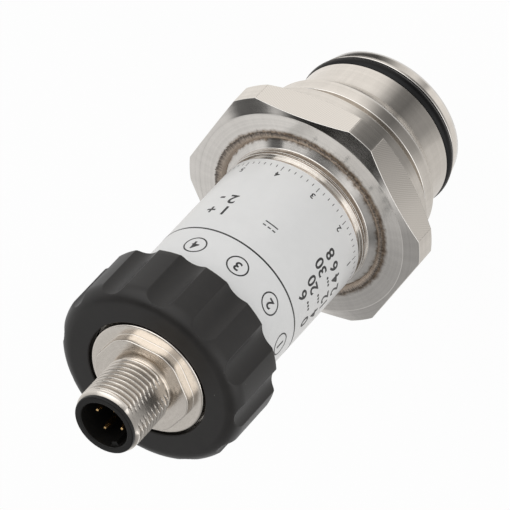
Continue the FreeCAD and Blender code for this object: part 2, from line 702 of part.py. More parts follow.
for index in range(4):
    pin = newBody(f"contact_pin_{index + 1}")
    revolve(pin, [
        (zero, cupBottom),
        (dim.cupRadius, cupBottom),
        (dim.cupRadius, cupBottom + dim.cupHeight),
        (dim.pinRadius, cupBottom + dim.cupHeight),
        (dim.pinRadius, connectorTop - dim.pinRecess - dim.pinTip),
        (dim.pinRadius / 2, connectorTop - dim.pinRecess),
        (zero, connectorTop - dim.pinRecess),
    ])
    across, depth = rotated(dim.pinCircle, dim.pinTurn + 90 * index)
    place(pin, across, depth, zero)

    # A wire drops from the pin's solder cup, leans outwards and enters its hole in the board.
    wire = newBody(f"lead_wire_{index + 1}")
    route = newSketch(wire, wire.Name + "Route", "XZ_Plane")
    bendAcross = dim.wireBend * (1 - math.sqrt(0.5))
    bendDrop = dim.wireBend * math.sqrt(0.5)
    lean = cupBottom - dim.wireLead
    leanEnd = dim.padCircle - bendAcross
    leanRun = leanEnd - dim.pinCircle - bendAcross
    drawOutline(route, [
        (dim.pinCircle, cupBottom),
        (dim.pinCircle, lean, dim.wireBend),
        (dim.pinCircle + bendAcross, lean - bendDrop),
        (leanEnd, lean - bendDrop - leanRun, -dim.wireBend),
        (dim.padCircle, lean - bendDrop - leanRun - bendDrop),
        (dim.padCircle, boardTop),
    ], closed=False)
    section = newSketch(wire, wire.Name + "Section", "XY_Plane", cupBottom)
    drawCircle(section, dim.pinCircle, zero, dim.wireRadius)
    sweep = wire.newObject("PartDesign::AdditivePipe", wire.Name + "Sweep")
    sweep.Profile = section
    sweep.Spine = (route, [])
    doc.recompute()
    turn(wire, dim.pinTurn + 90 * index)

# Union ring with its captive slip washer.
washer = newBody("slip_washer")
revolve(washer, [
    (discRadius + dim.washerClearance, baseTop),
    (threadRadius, baseTop),
    (threadRadius, washerTop),
    (discRadius + dim.washerClearance, washerTop),
])

union = newBody("union_ring")
ringBore = threadRadius + dim.threadClearance
ringHole = discRadius + dim.ringHoleClearance
skirtBore = labelRadius + dim.skirtClearance
ringRadius = skirtBore + dim.ringWall
revolve(union, [
    (skirtBore, ringBottom),
    (ringRadius - dim.ringEdge, ringBottom),
    (ringRadius, ringBottom + dim.ringEdge),
    (ringRadius, ringTop - dim.ringShoulder, dim.ringShoulder),
    (ringRadius - dim.ringShoulder, ringTop),
    (ringHole, ringTop),
    (ringHole, washerTop),
    (ringBore, washerTop),
    (ringBore, ringBottom + dim.skirtHeight),
    (skirtBore, ringBottom + dim.skirtHeight),
])
flute = newSketch(union, "UnionFlute", "XY_Plane", ringBottom)
drawCircle(flute, ringRadius - dim.fluteDepth + dim.fluteRadius, zero, dim.fluteRadius)
polar(union, pocket(union, flute, dim.ringHeight), dim.fluteCount)
turn(union, dim.fluteTurn)

# Every body, and each plain solid, is a sub-part of its own.
doc.recompute()
kinds = ("PartDesign::Body", "Part::Torus", "Part::Cylinder", "Part::Sphere", "Part::Box")
subparts = [item for item in doc.Objects if item.TypeId in kinds]
for item in doc.Objects:
    if "Invalid" in item.State or "Error" in item.State:
        raise RuntimeError(f"{item.Name} failed: {item.State}")
for item in subparts:
    if item.Shape.isNull() or not item.Shape.isValid() or len(item.Shape.Solids) != 1:
        raise RuntimeError(f"{item.Label} is not one valid solid")

os.makedirs("parts", exist_ok=True)
for item in subparts:
    item.Shape.exportStep(f"parts/{item.Label}.step")
    box = item.Shape.BoundBox
    print(f"{item.Label}: {item.Shape.Volume:.2f} mm3, z {box.ZMin:.2f} to {box.ZMax:.2f}")
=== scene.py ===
from math import acos, atan2, cos, degrees, pi, radians, sin, sqrt, tan

import bmesh
import bpy
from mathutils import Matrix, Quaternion, Vector, noise


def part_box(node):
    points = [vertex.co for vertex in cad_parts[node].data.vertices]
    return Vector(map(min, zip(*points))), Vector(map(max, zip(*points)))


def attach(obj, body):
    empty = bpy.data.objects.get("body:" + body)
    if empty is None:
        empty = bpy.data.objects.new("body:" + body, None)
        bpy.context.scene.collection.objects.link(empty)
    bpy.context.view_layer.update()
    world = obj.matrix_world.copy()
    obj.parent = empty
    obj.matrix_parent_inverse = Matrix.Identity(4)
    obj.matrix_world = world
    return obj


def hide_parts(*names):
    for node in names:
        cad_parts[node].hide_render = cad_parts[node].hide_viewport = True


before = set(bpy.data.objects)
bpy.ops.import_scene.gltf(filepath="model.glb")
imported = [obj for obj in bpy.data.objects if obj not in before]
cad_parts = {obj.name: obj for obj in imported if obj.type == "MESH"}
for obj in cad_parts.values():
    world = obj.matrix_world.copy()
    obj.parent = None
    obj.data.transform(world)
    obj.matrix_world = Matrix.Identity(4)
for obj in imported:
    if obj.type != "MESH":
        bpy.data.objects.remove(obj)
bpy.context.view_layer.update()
mm = 0.001


view = dict(
    target=(0.84, -0.03, 42.10),  # mm
    azimuth=-2.19,
    elevation=40.28,
    roll=-137.12,
    distance=1003.6,  # mm
    lens=429.8,
)


def linked(name, data):
    item = bpy.data.objects.new(name, data)
    bpy.context.scene.collection.objects.link(item)
    return item


def outward(azimuth, elevation):
    # Azimuth 0 is the front, which faces -Y, and 90 is +X.
    a, e = radians(azimuth), radians(elevation)
    return Vector((sin(a) * cos(e), -cos(a) * cos(e), sin(e)))


def aim(item, target, azimuth, elevation, distance, roll=0):
    # Puts a camera or lamp at a distance from a point and turns it there. Lengths are in metres.
    back = outward(azimuth, elevation)
    item.location = Vector(target) + back * distance
    item.rotation_mode = "QUATERNION"
    item.rotation_quaternion = (-back).to_track_quat("-Z", "Y") @ Quaternion((0, 0, 1), radians(roll))


def placeCamera():
    camera = linked("camera", bpy.data.cameras.new("camera"))
    aim(camera, [value * mm for value in view["target"]], view["azimuth"], view["elevation"],
        view["distance"] * mm, view["roll"])
    camera.data.lens = view["lens"]
    camera.data.clip_start, camera.data.clip_end = 0.01, 100
    bpy.context.scene.camera = camera


placeCamera()


def addNode(tree, kind, inputs=None, **settings):
    node = tree.nodes.new("ShaderNode" + kind)
    for name, value in settings.items():
        setattr(node, name, value)
    for name, value in (inputs or {}).items():
        if isinstance(value, bpy.types.NodeSocket):
            tree.links.new(value, node.inputs[name])
        else:
            node.inputs[name].default_value = value
    return node


def calc(tree, operation, *values, clamp=False):
    # One math node. Values are numbers or sockets.
    return addNode(tree, "Math", dict(enumerate(values)), operation=operation, use_clamp=clamp).outputs[0]


def times(tree, first, second):
    return calc(tree, "MULTIPLY", first, second)


def noiseAt(tree, vector, scale, detail=3.0, rough=0.55):
    return addNode(tree, "TexNoise", {"Vector": vector, "Scale": scale, "Detail": detail,
                                      "Roughness": rough}).outputs["Fac"]


def mixed(tree, factor, first, second):
    return addNode(tree, "Mix", {0: factor, 2: first, 3: second}).outputs[0]


def spread(tree, value, low, high, toLow=0.0, toHigh=1.0, smooth=True):
    kind = "SMOOTHSTEP" if smooth else "LINEAR"
    return addNode(tree, "MapRange", {"Value": value, "From Min": low, "From Max": high,
                                      "To Min": toLow, "To Max": toHigh},
                   interpolation_type=kind).outputs[0]


def blendColor(tree, factor, first, second):
    node = addNode(tree, "Mix", data_type="RGBA")
    for index, value in ((0, factor), (6, first), (7, second)):
        if isinstance(value, bpy.types.NodeSocket):
            tree.links.new(value, node.inputs[index])
        else:
            node.inputs[index].default_value = value if index == 0 else (*value[:3], 1)
    return node.outputs[2]


def newGroup(name, inputs, outputs):
    # A shader group with named number inputs. Outputs are given as name: socket kind.
    tree = bpy.data.node_groups.new(name, "ShaderNodeTree")
    for label, value in inputs.items():
        tree.interface.new_socket(label, in_out="INPUT", socket_type="NodeSocketFloat").default_value = value
    for label, kind in outputs.items():
        tree.interface.new_socket(label, in_out="OUTPUT", socket_type="NodeSocket" + kind)
    return tree, tree.nodes.new("NodeGroupInput").outputs, tree.nodes.new("NodeGroupOutput").inputs


def useGroup(tree, group, **inputs):
    node = tree.nodes.new("ShaderNodeGroup")
    node.node_tree = group
    for name, value in inputs.items():
        if isinstance(value, bpy.types.NodeSocket):
            tree.links.new(value, node.inputs[name])
        else:
            node.inputs[name].default_value = value
    return node.outputs


def fill(tree, put, **values):
    for name, value in values.items():
        tree.links.new(value, put[name])


def axisCoordinates():
    # Radius and height from the instrument's axis in millimetres, and the angle in turns.
    tree, _, put = newGroup("Axis coordinates", {}, {"Radius": "Float", "Height": "Float",
                                                     "Angle": "Float", "Place": "Vector"})
    place = addNode(tree, "VectorMath", {0: addNode(tree, "TexCoord").outputs["Object"],
                                         "Scale": 1 / mm}, operation="SCALE").outputs[0]
    axes = addNode(tree, "SeparateXYZ", {0: place}).outputs
    radius = calc(tree, "SQRT", calc(tree, "ADD", times(tree, axes[0], axes[0]),
                                     times(tree, axes[1], axes[1])))
    angle = calc(tree, "DIVIDE", calc(tree, "ARCTAN2", axes[1], axes[0]), 2 * pi)
    fill(tree, put, Radius=radius, Height=axes[2], Angle=angle, Place=place)
    return tree


axisGroup = axisCoordinates()


def turningMarks():
    # Fine rings that a lathe tool leaves on faces and cylinders, and rays across them that paint a streaky
    # reflection into the colour.
    tree, get, put = newGroup("Turning marks and painted rays", {"Pitch": 0.2, "Dish": 0.0, "Dish reach": 19.6},
                              {"Height": "Float", "Band": "Float", "Ray": "Float"})
    at = useGroup(tree, axisGroup)
    across = addNode(tree, "CombineXYZ", {"X": at["Radius"], "Y": at["Height"]}).outputs[0]
    rings = noiseAt(tree, across, calc(tree, "DIVIDE", 1.0, get["Pitch"]), 1.0, 0.5)
    inside = calc(tree, "MINIMUM", at["Radius"], get["Dish reach"])
    turn = times(tree, at["Angle"], 2 * pi)
    spoke = addNode(tree, "CombineXYZ", {
        "X": times(tree, calc(tree, "COSINE", turn), 12.0),
        "Y": times(tree, calc(tree, "SINE", turn), 12.0),
        "Z": times(tree, calc(tree, "ADD", at["Radius"], at["Height"]), 0.12)}).outputs[0]
    fill(tree, put, Height=calc(tree, "MULTIPLY_ADD", inside, get["Dish"], rings),
         Band=noiseAt(tree, across, 1.1, 2.0, 0.6), Ray=noiseAt(tree, spoke, 1.0, 2.0, 0.6))
    return tree


def millingMarks():
    # Arcs that a wide cutter leaves on the six flats, and a mask that keeps them there.
    tree, get, put = newGroup("Milling marks", {"Pitch": 0.3, "Cutter": 4.0, "Offset": 63.0,
                                                "Travel": 51.0, "From": 22.4, "Inside": 20.3},
                              {"Height": "Float", "Mask": "Float"})
    at = useGroup(tree, axisGroup)
    turn = times(tree, at["Angle"], 6.0)
    side = calc(tree, "ROUND", turn)
    lean = times(tree, calc(tree, "SUBTRACT", turn, side), radians(60))
    across = times(tree, at["Radius"], calc(tree, "SINE", lean))
    dx = calc(tree, "ADD", across, calc(tree, "MULTIPLY_ADD", side, get["Travel"], get["Offset"]))
    dz = calc(tree, "ADD", at["Height"], get["Cutter"])
    reach = calc(tree, "SQRT", calc(tree, "ADD", times(tree, dx, dx), times(tree, dz, dz)))
    rings = calc(tree, "SINE", times(tree, calc(tree, "DIVIDE", reach, get["Pitch"]), 2 * pi))
    force = spread(tree, noiseAt(tree, at["Place"], 0.22, 2.0), 0.35, 0.65, 0.12, 0.5)
    direction = times(tree, side, radians(60))
    normal = addNode(tree, "TexCoord").outputs["Normal"]
    facing = addNode(tree, "CombineXYZ", {"X": calc(tree, "COSINE", direction),
                                          "Y": calc(tree, "SINE", direction)}).outputs[0]
    along = addNode(tree, "VectorMath", {0: normal, 1: facing}, operation="DOT_PRODUCT").outputs["Value"]
    there = times(tree, calc(tree, "GREATER_THAN", at["Height"], get["From"]),
                  calc(tree, "GREATER_THAN", at["Radius"], get["Inside"]))
    fill(tree, put, Height=calc(tree, "MULTIPLY_ADD", rings, force, 0.5),
         Mask=times(tree, spread(tree, along, 0.985, 0.998), there))
    return tree


def handlingSmudges():
    # Slow clouds of cleaner and duller surface.
    tree, get, put = newGroup("Handling smudges", {"Size": 6.0, "Contrast": 0.5}, {"Factor": "Float"})
    at = useGroup(tree, axisGroup)
    cloud = noiseAt(tree, at["Place"], calc(tree, "DIVIDE", 1.0, get["Size"]), 4.0, 0.6)
    shifted = times(tree, calc(tree, "SUBTRACT", cloud, 0.5), get["Contrast"])
    fill(tree, put, Factor=calc(tree, "ADD", shifted, 0.5, clamp=True))
    return tree


def fineGrain():
    # Moulded or etched grain, with a few pale dust specks.
    tree, get, put = newGroup("Fine grain", {"Grain": 0.25, "Dust spacing": 4.0, "Dust size": 0.05},
                              {"Height": "Float", "Dust": "Float", "Mottle": "Float"})
    at = useGroup(tree, axisGroup)
    density = calc(tree, "DIVIDE", 1.0, get["Grain"])
    cells = addNode(tree, "TexVoronoi", {"Vector": at["Place"],
                                         "Scale": calc(tree, "DIVIDE", 1.0, get["Dust spacing"])})
    size = calc(tree, "DIVIDE", get["Dust size"], get["Dust spacing"])
    chosen = calc(tree, "GREATER_THAN", addNode(tree, "SeparateColor", {
        0: cells.outputs["Color"]}).outputs[0], 0.45)
    speck = times(tree, calc(tree, "LESS_THAN", cells.outputs["Distance"], size), chosen)
    fill(tree, put, Height=noiseAt(tree, at["Place"], density, 2.0, 0.6),
         Mottle=noiseAt(tree, at["Place"], 0.35, 3.0, 0.6), Dust=speck)
    return tree


def heatTint():
    # Straw and brown oxide colours in a ring round a weld.
    tree, get, put = newGroup("Heat tint", {"Middle": 16.0, "Width": 1.2, "Floor": 27.5},
                              {"Color": "Color", "Mask": "Float"})
    at = useGroup(tree, axisGroup)
    cloud = noiseAt(tree, at["Place"], 0.9, 4.0, 0.7)
    wander = times(tree, calc(tree, "SUBTRACT", cloud, 0.5), 1.3)
    away = calc(tree, "SUBTRACT", at["Radius"], get["Middle"])
    off = calc(tree, "ABSOLUTE", calc(tree, "ADD", away, wander))
    mask = times(tree, spread(tree, calc(tree, "DIVIDE", off, get["Width"]), 1.0, 0.15),
                 calc(tree, "GREATER_THAN", at["Height"], get["Floor"]))
    ramp = addNode(tree, "ValToRGB", {"Fac": noiseAt(tree, at["Place"], 1.7, 5.0, 0.75)})
    ramp.color_ramp.elements[0].position, ramp.color_ramp.elements[1].position = 0.35, 0.68
    ramp.color_ramp.elements[0].color = (0.085, 0.060, 0.045, 1)
    ramp.color_ramp.elements[1].color = (0.40, 0.315, 0.24, 1)
    fill(tree, put, Color=ramp.outputs[0], Mask=mask)
    return tree


def threadGrime():
    # How deep a point lies in a thread that climbs above a given height, as the mask of a painted shade in
    # the thread roots.
    tree, get, put = newGroup("Thread root shade", {"Root": 5.4, "Crest": 5.9, "Floor": 79.0}, {"Mask": "Float"})
    at = useGroup(tree, axisGroup)
    depth = spread(tree, at["Radius"], get["Root"], get["Crest"], 1.0, 0.0)
    above = calc(tree, "GREATER_THAN", at["Height"], get["Floor"])
    fill(tree, put, Mask=times(tree, depth, above))
    return tree


marksAndRaysGroup, millingGroup, smudgeGroup = turningMarks(), millingMarks(), handlingSmudges()
grainGroup, tintGroup, rootShadeGroup = fineGrain(), heatTint(), threadGrime()
print("effects: 7 groups")


finish = {}


def newFinish(name, **constants):
    # A material with one Principled shader, kept in finish. Constants go straight on its sockets.
    finish[name] = bpy.data.materials.new(name)
    finish[name].use_nodes = True
    tree = finish[name].node_tree
    shader = tree.nodes["Principled BSDF"]
    for socket, value in constants.items():
        shader.inputs[socket.replace("_", " ")].default_value = value
    return tree, shader


def roughen(tree, shader, smudge, low, high):
    tree.links.new(spread(tree, smudge, 0.0, 1.0, low, high, smooth=False), shader.inputs["Roughness"])


def raiseSurface(tree, shader, height, depth, onto=None):
    # A bump of so many millimetres, on top of an earlier bump if there is one.
    inputs = {"Height": height, "Distance": depth * mm, "Strength": 1.0}
    if onto is not None:
        inputs["Normal"] = onto
    normal = addNode(tree, "Bump", inputs).outputs[0]
    tree.links.new(normal, shader.inputs["Normal"])
    return normal


metalLook = dict(
    rays=0.36, contrast=(0.33, 0.67),  # share of the painted reflection rays among the turning marks, and the span they color
    arcs=0.27, arcShade=0.37,
    cloudSize=5.0, cloudContrast=0.9,
    # the next two: how strongly and how dark the painted shade in the thread roots is
    rootShade=0.72, rootShadeTone=0.22,
    castSize=1.3,
)


def turnedMetal(name, color, roughness, pitch=0.22, depth=0.004, streak=0.5, shade=0.86, dish=0.0,
                tint=None, milled=None, rootShade=None, cast=0.0):
    # Metal cut on a lathe: ring marks, a stretched highlight across them, radial rays of painted reflection
    # in the colour and slow clouds.
    look = metalLook
    tree, shader = newFinish(name, Metallic=1.0, Anisotropic=streak, Anisotropic_Rotation=0.25)
    tree.links.new(addNode(tree, "Tangent", direction_type="RADIAL", axis="Z").outputs[0],
                   shader.inputs["Tangent"])
    marks = useGroup(tree, marksAndRaysGroup, Pitch=pitch, Dish=dish)
    smudge = useGroup(tree, smudgeGroup, Size=look["cloudSize"], Contrast=look["cloudContrast"])["Factor"]
    # The colour follows the turning bands and, through the rays, a painted reflection streak.
    marksAndPaintedRays = mixed(tree, look["rays"], marks["Band"], marks["Ray"])
    height = marks["Height"]
    if milled:
        cut = useGroup(tree, millingGroup, **milled)
        arcs = calc(tree, "MULTIPLY_ADD", cut["Height"], look["arcs"], look["arcShade"])
        marksAndPaintedRays = mixed(tree, cut["Mask"], marksAndPaintedRays, arcs)
        height = mixed(tree, cut["Mask"], height, cut["Height"])
    base = blendColor(tree, spread(tree, marksAndPaintedRays, *look["contrast"]), [c * shade for c in color], color)
    roughen(tree, shader, smudge, *roughness)
    if tint:
        oxide = useGroup(tree, tintGroup, **tint)
        base = blendColor(tree, oxide["Mask"], base, oxide["Color"])
    # Painted shade: thread roots darkened by their depth, standing in for the shade that falls in the
    # grooves.
    if rootShade:
        paintedRootShade = times(tree, useGroup(tree, rootShadeGroup, **rootShade)["Mask"], look["rootShade"])
        base = blendColor(tree, paintedRootShade, base, [c * look["rootShadeTone"] for c in color])
    tree.links.new(base, shader.inputs["Base Color"])
    bumped = raiseSurface(tree, shader, height, depth)
    if cast:
        place = useGroup(tree, axisGroup)["Place"]
        raiseSurface(tree, shader, noiseAt(tree, place, look["castSize"], 4.0, 0.65), cast, onto=bumped)


def mouldedPlastic(name, color, roughness, grain=0.2, depth=0.01, dust=0.0, mottle=0.12, **constants):
    tree, shader = newFinish(name, **constants)
    surface = useGroup(tree, grainGroup, Grain=grain)
    base = blendColor(tree, spread(tree, surface["Mottle"], 0.3, 0.7),
                      [c * (1 - mottle) for c in color], [min(1, c * (1 + mottle)) for c in color])
    if dust:
        base = blendColor(tree, times(tree, surface["Dust"], dust), base, (0.6, 0.58, 0.55))
    tree.links.new(base, shader.inputs["Base Color"])
    roughen(tree, shader, surface["Mottle"], *roughness)
    raiseSurface(tree, shader, surface["Height"], depth)


steelColor = (0.785, 0.752, 0.712)
nickelColor = (0.785, 0.73, 0.665)
turnedMetal("processSteel", steelColor, (0.10, 0.18), pitch=0.35, depth=0.005, streak=0.35, shade=0.88,
            dish=-28.0, tint={"Middle": 15.9, "Width": 1.05}, milled={"Pitch": 0.36})
turnedMetal("neckSteel", steelColor, (0.10, 0.18), pitch=0.2, depth=0.002, streak=0.4,
            tint={"Middle": 15.1, "Width": 0.8})
turnedMetal("tubeSteel", steelColor, (0.2, 0.3), pitch=0.2, depth=0.003, streak=0.4)
turnedMetal("headerSteel", (0.62, 0.60, 0.56), (0.25, 0.4), pitch=0.2, depth=0.004)
turnedMetal("washerSteel", (0.66, 0.65, 0.63), (0.2, 0.35), pitch=0.15, depth=0.003)
turnedMetal("foilSteel", (0.66, 0.66, 0.65), (0.18, 0.3), pitch=0.35, depth=0.002, streak=0.2, shade=0.95)
# The plug thread's roots get a painted shade.
turnedMetal("nickelPlate", nickelColor, (0.18, 0.30), pitch=0.25, depth=0.001, streak=0.1, shade=0.93,
            cast=0.022, rootShade={"Root": 5.3, "Crest": 5.95, "Floor": 79.0})
turnedMetal("goldPlate", (0.83, 0.56, 0.26), (0.15, 0.28), pitch=0.1, depth=0.001, streak=0.1)
turnedMetal("brassScrew", (0.72, 0.55, 0.28), (0.2, 0.35), pitch=0.1, depth=0.003)
turnedMetal("canAluminium", (0.7, 0.7, 0.71), (0.25, 0.4), pitch=0.2, depth=0.002)
mouldedPlastic("unionPlastic", (0.016, 0.0145, 0.0135), (0.34, 0.48), grain=0.2, depth=0.012, dust=0.8,
               Specular_IOR_Level=0.38)
mouldedPlastic("insertPlastic", (0.008, 0.0075, 0.007), (0.32, 0.46), grain=0.12, depth=0.004,
               Specular_IOR_Level=0.25)
mouldedPlastic("ringRubber", (0.006, 0.006, 0.0065), (0.28, 0.4), grain=0.3, depth=0.004, dust=0.5,
               Specular_IOR_Level=0.2)
mouldedPlastic("carrierNylon", (0.62, 0.60, 0.54), (0.4, 0.55))
mouldedPlastic("packageEpoxy", (0.03, 0.03, 0.032), (0.55, 0.7), grain=0.1)
mouldedPlastic("trimmerPlastic", (0.05, 0.12, 0.38), (0.35, 0.5))
mouldedPlastic("flexPolyimide", (0.55, 0.27, 0.05), (0.25, 0.4), grain=0.4, depth=0.004)
mouldedPlastic("wireSleeve", (0.30, 0.05, 0.04), (0.35, 0.5), grain=0.3, depth=0.004)
mouldedPlastic("chipSilicon", (0.10, 0.11, 0.14), (0.1, 0.2), grain=0.5, depth=0.001, Metallic=0.6)


def labelFilm():
    # White semi-gloss film with a hint of the tube's unevenness under it.
    tree, shader = newFinish("labelFilm", Coat_Weight=0.35, Coat_Roughness=0.12)
    surface = useGroup(tree, grainGroup, **{"Grain": 0.5, "Dust spacing": 9.0, "Dust size": 0.06})
    base = blendColor(tree, spread(tree, surface["Mottle"], 0.25, 0.75),
                      (0.825, 0.825, 0.818), (0.845, 0.845, 0.838))
    base = blendColor(tree, times(tree, surface["Dust"], 0.5), base, (0.25, 0.24, 0.23))
    tree.links.new(base, shader.inputs["Base Color"])
    roughen(tree, shader, surface["Mottle"], 0.28, 0.42)
    raiseSurface(tree, shader, surface["Height"], 0.002)


def boardMask():
    # Green solder mask with paler tracks in a square grid.
    tree, shader = newFinish("boardMask")
    at = useGroup(tree, axisGroup)
    axes = addNode(tree, "SeparateXYZ", {0: at["Place"]}).outputs
    lines = [calc(tree, "LESS_THAN", calc(tree, "FRACT", times(tree, axes[index], 0.8)), 0.3)
             for index in (0, 2)]
    track = times(tree, calc(tree, "MAXIMUM", *lines),
                  calc(tree, "GREATER_THAN", noiseAt(tree, at["Place"], 0.5, 1.0), 0.5))
    tree.links.new(blendColor(tree, track, (0.010, 0.075, 0.030), (0.03, 0.16, 0.06)),
                   shader.inputs["Base Color"])
    roughen(tree, shader, noiseAt(tree, at["Place"], 0.6), 0.25, 0.4)
    raiseSurface(tree, shader, track, 0.03)


def weldMetal():
    # Oxidised weld: dark along its outer rim, brown inside, with bright brushed spots.
    tree, shader = newFinish("weldMetal", Metallic=1.0)
    at = useGroup(tree, axisGroup)
    fine = noiseAt(tree, at["Place"], 3.2, 5.0, 0.75)
    flat = addNode(tree, "VectorMath", {0: at["Place"], 1: (1, 1, 0)}, operation="MULTIPLY").outputs[0]
    spoke = addNode(tree, "VectorMath", {0: flat}, operation="NORMALIZE").outputs[0]
    ray = noiseAt(tree, spoke, 75.0, 2.0, 0.6)
    across = addNode(tree, "Attribute", attribute_name="across").outputs["Fac"]
    mottle = calc(tree, "SUBTRACT", calc(tree, "ADD", fine, ray), 1.0)
    share = calc(tree, "MULTIPLY_ADD", mottle, 1.2, across)
    base = blendColor(tree, spread(tree, share, 0.0, 0.7), (0.15, 0.13, 0.115), (0.58, 0.49, 0.41))
    bright = times(tree, spread(tree, noiseAt(tree, at["Place"], 1.4, 4.0, 0.7), 0.56, 0.70), 0.6)
    tree.links.new(blendColor(tree, bright, base, (0.60, 0.54, 0.47)), shader.inputs["Base Color"])
    roughen(tree, shader, fine, 0.34, 0.58)
    raiseSurface(tree, shader, fine, 0.035)


def printInk():
    tree, shader = newFinish("printInk")
    surface = useGroup(tree, grainGroup, Grain=0.15)
    tree.links.new(blendColor(tree, surface["Height"], (0.012, 0.012, 0.013), (0.035, 0.035, 0.036)),
                   shader.inputs["Base Color"])
    roughen(tree, shader, surface["Mottle"], 0.35, 0.5)
    raiseSurface(tree, shader, surface["Height"], 0.002)


for makeFinish in (labelFilm, boardMask, weldMetal, printInk):
    makeFinish()
print("finishes:", len(finish))


def softMin(first, second, softness):
    overlap = max(softness - abs(first - second), 0) / softness
    return min(first, second) - overlap * overlap * softness / 4


def clamp(value):
    return min(max(value, 0), 1)


def rounded(sizes, corners, steps=3, loop=True):
    # A half section whose corners (radius, height, rounding) become small arcs. A word in a
    # corner stands for that entry of the sizes.
    corners = [[sizes.get(part, part) for part in corner] for corner in corners]
    section = []
    last = len(corners) - 1
    for index, corner in enumerate(corners):
        if len(corner) == 2 or (not loop and index in (0, last)):
            section.append(tuple(corner[:2]))
            continue
        point = Vector(corner[:2])
        back = Vector(corners[index - 1][:2]) - point
        ahead = Vector(corners[(index + 1) % len(corners)][:2]) - point
        half = back.angle(ahead) / 2
        reach = min(corner[2] / tan(half), back.length * 0.42, ahead.length * 0.42)
        radius = reach * tan(half)
        back.normalize()
        ahead.normalize()
        centre = point + (back + ahead).normalized() * radius / sin(half)
        start, end = point + back * reach - centre, point + ahead * reach - centre
        section.append(tuple(point + back * reach * 1.15))  # holds the shading of the flat beside it
        for step in range(steps + 1):
            section.append(tuple(centre + start.lerp(end, step / steps).normalized() * radius))
        section.append(tuple(point + ahead * reach * 1.15))
    return section


def roundAngles(count):
    return [360 * index / count for index in range(count)]


def finishMesh(piece, mesh):
    # Joins doubled points, turns the faces outwards and keeps flat faces flat in the shading.
    mesh.validate()
    shape = bmesh.new()
    shape.from_mesh(mesh)
    bmesh.ops.remove_doubles(shape, verts=shape.verts, dist=1e-3 * mm)
    bmesh.ops.dissolve_degenerate(shape, edges=shape.edges, dist=1e-4 * mm)
    bmesh.ops.recalc_face_normals(shape, faces=shape.faces)
    shape.to_mesh(mesh)
    shape.free()
    mesh.shade_smooth()
    mesh.set_sharp_from_angle(angle=radians(38))
    even = piece.modifiers.new("evenNormals", "WEIGHTED_NORMAL")
    even.keep_sharp = True


def addPiece(name, points, faces, material, body, slot, replaced=()):
    mesh = bpy.data.meshes.new(name)
    mesh.from_pydata([tuple(value * mm for value in point) for point in points], [], faces)
    piece = linked(name, mesh)
    finishMesh(piece, mesh)
    mesh.materials.append(finish[material])
    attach(piece, body)
    if replaced:
        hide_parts(*replaced)
    return piece


def spin(sectionAt, angles, loop=True):
    # Points and faces of a half section. It may change with the angle, but keeps its number of points.
    points, faces = [], []
    rows = None
    for angle in angles:
        turn = radians(angle)
        section = sectionAt(angle)
        rows = len(section)
        points += [(r * cos(turn), r * sin(turn), z) for r, z in section]
    count = len(angles)
    for column in range(count):
        here, there = column * rows, (column + 1) % count * rows
        for row in range(rows if loop else rows - 1):
            above = (row + 1) % rows
            faces.append((here + row, there + row, there + above, here + above))
    return points, faces


def joined(*shapes):
    points, faces = [], []
    for morePoints, moreFaces in shapes:
        start = len(points)
        points += morePoints
        faces += [tuple(index + start for index in face) for face in moreFaces]
    return points, faces


def hexRadius(angle, across, corner, softness):
    # The reach of a hexagon with turned corners. Flats are centred on 0, 60, 120 degrees and so on.
    off = (angle + 30) % 60 - 30
    return softMin(across / 2 / cos(radians(off)), corner, softness)


def hexAngles(across, corner):
    # Angles that crowd where a flat meets its turned corner.
    edge = degrees(acos(across / 2 / corner))
    half = [3.0 * step for step in range(int(edge / 3))]
    half += [edge + off for off in (-1.5, -0.8, -0.4, -0.2, 0, 0.2, 0.4, 0.8, 1.5, 2.5, 4)]
    half = [angle for angle in half if angle < 30]
    side = [-angle for angle in reversed(half[1:])] + half + [30]
    return [60 * index + angle for index in range(6) for angle in side]


def withSteps(angles, step):
    # Fills the wider gaps between the angles of one turn.
    extra = [angles[0] + step * count for count in range(1, int(360 / step))]
    return sorted(angles + [angle for angle in extra
                            if min(abs(angle - other) for other in angles) > step * 0.4])


def threadedBarrel(angles, bottom, top, crest, depth, pitch, bottomRadius, topRadius, fade, perTurn=12,
                   limit=None):
    # A grid whose rows climb with the helix, so that crests and roots are clean lines.
    # A limit gives the furthest reach at an angle, for flats along the thread.
    count = len(angles)
    rows = int(((top - bottom) / pitch + 3) * perTurn)
    points, faces = [], []
    for angle in angles:
        turn = radians(angle)
        for row in range(rows):
            height = bottom - pitch + pitch * (angle - angles[0]) / 360 + pitch * row / perTurn
            height = min(max(height, bottom), top)
            phase = row % perTurn / perTurn
            cut = clamp((abs(phase - 0.5) * 2 - 0.2) / 0.6)
            radius = crest - depth * cut
            low, high = clamp((height - bottom) / fade), clamp((top - height) / fade)
            radius = bottomRadius + (radius - bottomRadius) * low
            radius = topRadius + (radius - topRadius) * high
            if limit:
                radius = min(radius, limit(angle))
            points.append((radius * cos(turn), radius * sin(turn), height))
    for column in range(count):
        shift = perTurn if column == count - 1 else 0
        here, there = column * rows, (column + 1) % count * rows
        for row in range(rows - 1 - shift):
            face = (here + row, there + row + shift, there + row + shift + 1, here + row + 1)
            heights = [points[index][2] for index in face]
            if max(heights) - min(heights) > 1e-6:
                faces.append(face)
    return points, faces


